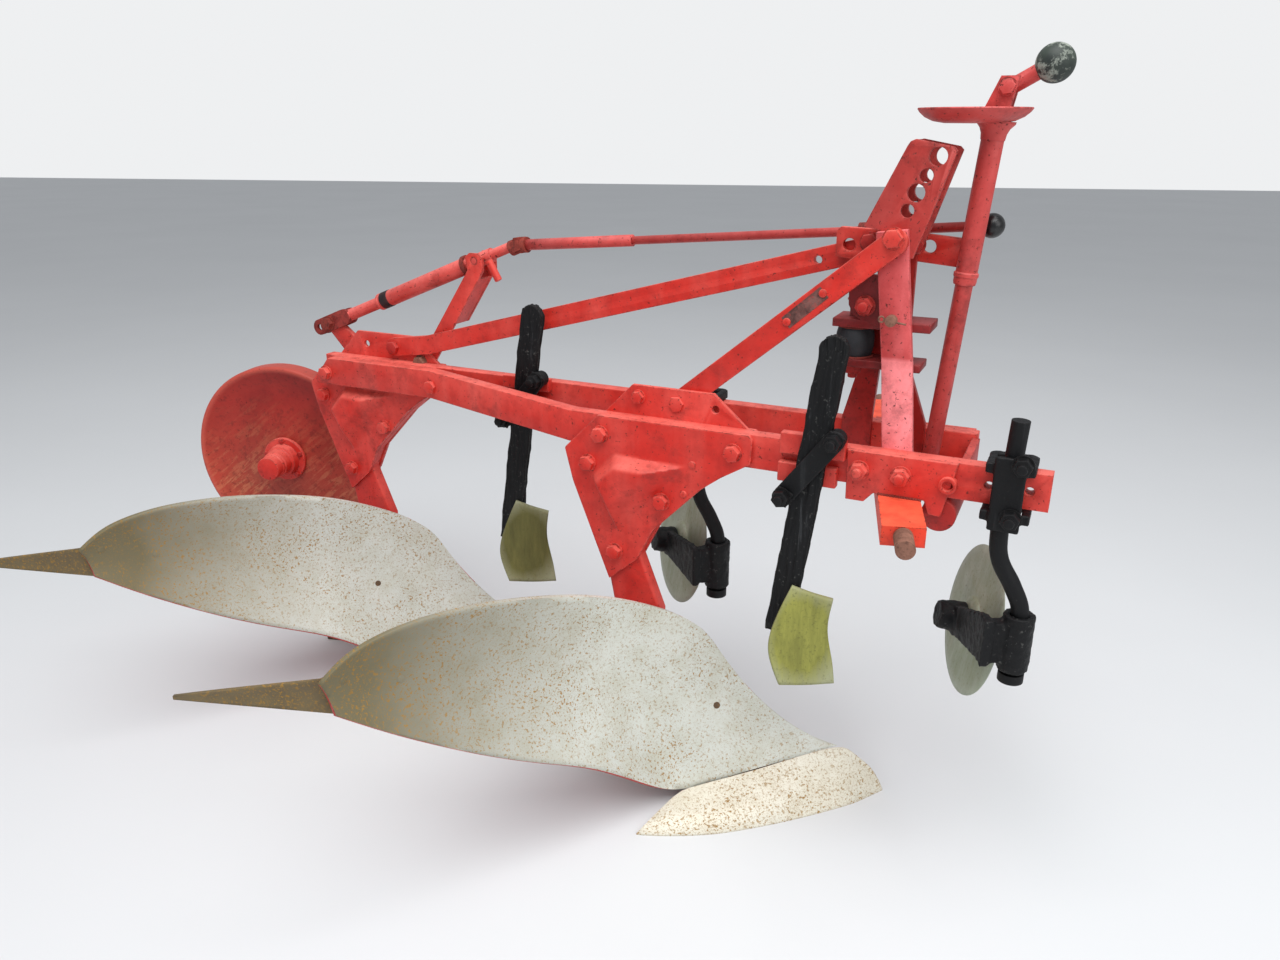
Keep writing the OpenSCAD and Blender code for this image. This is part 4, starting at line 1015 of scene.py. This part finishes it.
# Three bolts and then one open hole on each board
bolt_spots = {"front": [(0.020, -0.426, 0.390), (0.121, -0.328, 0.322), (-0.035, -0.495, 0.424),
                        (0.469, -0.069, 0.166)],
              "rear": [(-0.648, -0.084, 0.387), (-0.547, 0.014, 0.320), (-0.705, -0.156, 0.423),
                       (-0.339, 0.219, 0.204)]}
plough_bolt = joined([drum(0.0065, -0.001, 0.0005, 20, 0.0003)], "plough_bolt")
shade(plough_bolt)
for side, shift in (("front", Vector((0, 0, 0))), ("rear", behind)):
    eye = eye_point + shift
    board_steel = soil_steel(side + "_board_steel", rgb(214, 216, 207), rgb(198, 201, 194),
                             rgb(172, 166, 136), 0.9, (shift.x + 0.20, shift.x - 0.06))
    board = smooth_sheet(side + "_moldboard", side + "_board_sheet", eye, board_steel, board_back, 2)
    smooth_sheet(side + "_tailpiece", side + "_tail_sheet", eye, tail_steel, board_back, 1)
    spots = []
    for spot in bolt_spots[side]:
        _, point, normal, _ = board.closest_point_on_mesh(Vector(spot))
        spots.append((point, normal))
    fasten(side + "_board_bolts", plough_bolt, spots[:3], board_steel, slot="soil_steel")
    fasten(side + "_board_hole", plough_bolt, spots[3:], frog_steel, slot="soil_steel")
    smooth_sheet(side + "_share", side + "_share_sheet", eye, share_steel, share_steel, 1, 0.0005)
    dress(side + "_frog", frog_steel, 0.001)
    dress(side + "_landside", frog_steel, 0.0015)
    dress(side + "_board_stay", dark_red, 0.001)

# Skimmers
# A flat stalk under thick flaking black paint is clamped to the beam by a slanting strap, and
# a small curved blade at its foot turns the top of the slice. The blades are green with moss.


def black_paint(name, flake):
    f = Finish(name)
    grain = f.noise(46.0, 7, 0.72, stretch=(1, 1, 0.08))
    dust = f.noise(150.0, 4)
    f.colour = f.colours(f.above(grain, 0.52, 0.25) * 0.5, rgb(4, 4, 6), rgb(15, 16, 19))
    f.lay(f.above(grain, 0.64, 0.06) * 0.5 * flake, rgb(70, 72, 74))
    f.lay(f.above(dust, 0.68 - 0.04 * flake, 0.05) * 0.35 * flake, rgb(110, 110, 106))
    f.lay(f.edges(0.003) * 0.15, rgb(70, 68, 66))
    return f.ends((0.42 + grain * 0.3).clip(), grain + dust * 0.2, 0.0045 * (0.25 + flake), specular=0.28)


def roughen(piece, depth, height):
    """Moves each corner along its normal, by the depth times the height at its place."""
    moves = [vertex.normal * depth * height(vertex.co) for vertex in piece.data.vertices]
    for vertex, move in zip(piece.data.vertices, moves):
        vertex.co += move


def scales(place):
    """Long scales that run up a stalk, from -1 to 1."""
    x, y, z = place
    broad = noise.noise((x * 210, y * 210, z * 16))
    return max(-1.0, min(1.0, 2.2 * (broad + 0.6 * noise.noise((x * 420, y * 420, z * 40)))))


def lumps(place):
    """The lumpy skin of a rough casting."""
    return noise.noise(place * 90) + 0.5 * noise.noise(place * 260)


def bark(node, name, finish, depth):
    """A copy of a flat stalk in fine faces, its surface split into long scales."""
    piece = merged_copy(node, name)
    edit_all()
    bpy.ops.mesh.tris_convert_to_quads(face_threshold=math.radians(2), shape_threshold=math.radians(90))
    edit_done()
    modify(piece, "finer", "SUBSURF", subdivision_type="SIMPLE", levels=5, render_levels=5)
    apply_modifiers(piece)
    roughen(piece, depth, scales)
    shade(piece, 60)
    return carried(piece, finish, "frame", slots[node], [node])


def rough_casting(node, name, finish, depth, body, voxel=0.0026):
    """A copy of a casting with soft edges and a lumpy skin."""
    piece = merged_copy(node, name)
    modify(piece, "skin", "REMESH", mode="VOXEL", voxel_size=voxel)
    apply_modifiers(piece)
    modify(piece, "even", "SMOOTH", factor=0.5, iterations=4)
    apply_modifiers(piece)
    roughen(piece, depth, lumps)
    shade(piece, 80)
    return carried(piece, finish, body, slots[node], [node])


def mossy_blade(name, middle, green):
    """A thin blade, green in the middle and pale towards its edges."""
    f = Finish(name)
    mid = f.noise(60.0, 6, stretch=(1, 1, 0.12))
    fine = f.noise(190.0, 5)
    out = f.away(middle, (1, 1, 0.75)) + mid * 0.03
    f.colour = f.colours(f.above(mid, 0.5, 0.3), green, tuple(c * 0.62 for c in green[:3]) + (1.0,))
    f.lay(f.above(out, 0.075, 0.03) * 0.7, rgb(168, 170, 140))
    f.lay(f.above(fine, 0.6, 0.1) * 0.5, rgb(86, 84, 44))
    return f.ends((0.5 + fine * 0.2).clip(), mid * 0.4 + fine * 0.3, 0.0008)


def middle_of(node):
    """The middle of a CAD node's box."""
    low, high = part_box(node)
    return tuple((a + b) / 2 for a, b in zip(low, high))


black = black_paint("black_paint", 0.3)
scaly_black = black_paint("scaly_black_paint", 1.0)
# Faces of the front clamp's layers, outwards from the beam, in mm across
bar_face = -171
spacer_face = -185.4
strap_face = -194.5
washer_face = -198.5
beam_bottom = 660
strap_radius = 16
# Steps along and across from the front clamp, rise over the beam and drop under it
skimmer_steps = {"front": (0, 0, 36, 34), "rear": (-617, 158.85, 26, 30)}


def clamp_part(name, outline, face, back, dv, rounding=0.002, replaced=()):
    """A black layer of a clamp that lies dv further across than the front one."""
    slab(name, outline, face + dv, back + dv, black, rounding, "black_paint", replaced)


for side, shade_of_green in (("front", rgb(150, 150, 70)), ("rear", rgb(104, 102, 54))):
    moss = mossy_blade(side + "_mossy_blade", middle_of(side + "_skimmer_blade"), shade_of_green)
    smooth_sheet(side + "_skimmer_blade", side + "_blade_sheet", eye_point, moss, moss, 2)
    bark(side + "_skimmer", side + "_bark_stalk", scaly_black, 0.0014)
    du, dv, rise, drop = skimmer_steps[side]
    top_end = (-94 + du, beam_top + rise - strap_radius)
    low_end = (-169 + du, beam_bottom - drop + 10)
    outline = strap_outline(low_end, top_end, strap_radius)
    clamp_part(side + "_clamp_strap", outline, strap_face, spacer_face, dv, replaced=[side + "_skimmer_clamp"])
    for name, end in (("upper", top_end), ("lower", low_end)):
        clamp_part(f"{side}_{name}_spacer", arc(end, 15, 0, 342, 19), spacer_face, bar_face, dv)
        clamp_part(f"{side}_{name}_washer", arc(end, 19, 20, 290, 3), washer_face, strap_face, dv, 0.0012)
    bars = [("upper_bar", -185, -82, 698, 697 + rise), ("lower_bar", -187, -93, 652, 684)]
    for name, u0, u1, z0, z1 in bars:
        corners = [(u0 + du, z0), (u1 + du, z0), (u1 + du, z1), (u0 + du, z1)]
        slab(side + "_" + name, corners, bar_face + dv, beam_face + dv, red, 0.002)
    fasten(side + "_skimmer_nuts", nut_m16, row(washer_face + dv, near, top_end, low_end), black,
           slot="black_paint")

# Disc coulters
# A bent round stem in a strap clamp carries a rough black casting, and the casting's boss
# carries a thin disc that cuts ahead of each body. The discs are streaked with green.


def streaked_disc(name, centre):
    f = Finish(name)
    mid = f.noise(20.0, 6)
    streak = f.noise(60.0, 6, 0.72, stretch=(1, 1, 0.2))
    fine = f.noise(210.0, 4)
    f.colour = f.colours(f.above(mid, 0.5, 0.35), rgb(176, 182, 164), rgb(160, 168, 146))
    f.lay(f.above(streak, 0.5, 0.3) * 0.4, rgb(112, 120, 72))
    f.lay(f.above(f.away(centre), 0.112, 0.02) * 0.4, rgb(176, 182, 170))
    f.lay(f.above(fine, 0.63, 0.08) * 0.5, rgb(96, 90, 56))
    return f.ends((0.42 + fine * 0.25).clip(), streak * 0.3 + fine * 0.3, 0.0006, metallic=0.15)


stem_bends = [(-36, 797), (-40, 700), (-44, 618), (-39, 584), (-15, 541), (-1, 508), (0, 392)]
# Place along and across, lift, top, and the clamp nuts' place across
stem_feet = {"front": (196, -168.3, 0, 795, -190), "rear": (-343, -9.45, -46, 800, -31.1)}


def swept_stem(side):
    """The bent round bar of a coulter, swept along a smooth curve, with the collar at its foot."""
    u, v, lift, top, _ = stem_feet[side]
    curve = bpy.data.curves.new(side + "_bends", "CURVE")
    curve.dimensions = "3D"
    curve.bevel_depth = 0.013
    curve.bevel_resolution = 6
    curve.use_fill_caps = True
    line = curve.splines.new("BEZIER")
    line.bezier_points.add(len(stem_bends) - 1)
    for knot, (du, z) in zip(line.bezier_points, stem_bends):
        knot.co = beam_point(u + du, v, min(z, top) + lift)
        knot.handle_left_type = "AUTO"
        knot.handle_right_type = "AUTO"
    bar = bpy.data.objects.new(side + "_bends", curve)
    link(bar)
    choose(bar)
    bpy.ops.object.convert(target="MESH")
    bar = bpy.context.object
    collar = drum(0.019, 0.388, 0.4025, 32, 0.001)
    collar.location = beam_point(u, v, 395.25 + lift)
    piece = joined([bar, collar], side + "_swept_stem")
    shade(piece)
    return carried(piece, black, slot=slots[side + "_coulter_stem"], replaced=[side + "_coulter_stem"])


for side in ("front", "rear"):
    swept_stem(side)
    rough_casting(side + "_coulter_clamp", side + "_clamp_casting", black, 0.0006, "frame", 0.0022)
    rough_casting(side + "_coulter_arm", side + "_coulter_casting", scaly_black, 0.0013, side + "_coulter")
    disc = side + "_coulter_disc"
    dress(disc, streaked_disc(side + "_streaked_disc", middle_of(disc)), 0)
for side, (u, _, _, _, nut_v) in stem_feet.items():
    fasten(side + "_coulter_nuts", nut_m16, row(nut_v, near, (u - 24, 736), (u - 31, 655)), black,
           slot="black_paint")

# Patterns
# The fasteners that were copied go.
for pattern in (shaft_weld, head_large, head_m16, nut_m16, head_m12, rivet, plough_bolt, trunnion_head,
                hub_head):
    bpy.data.objects.remove(pattern)
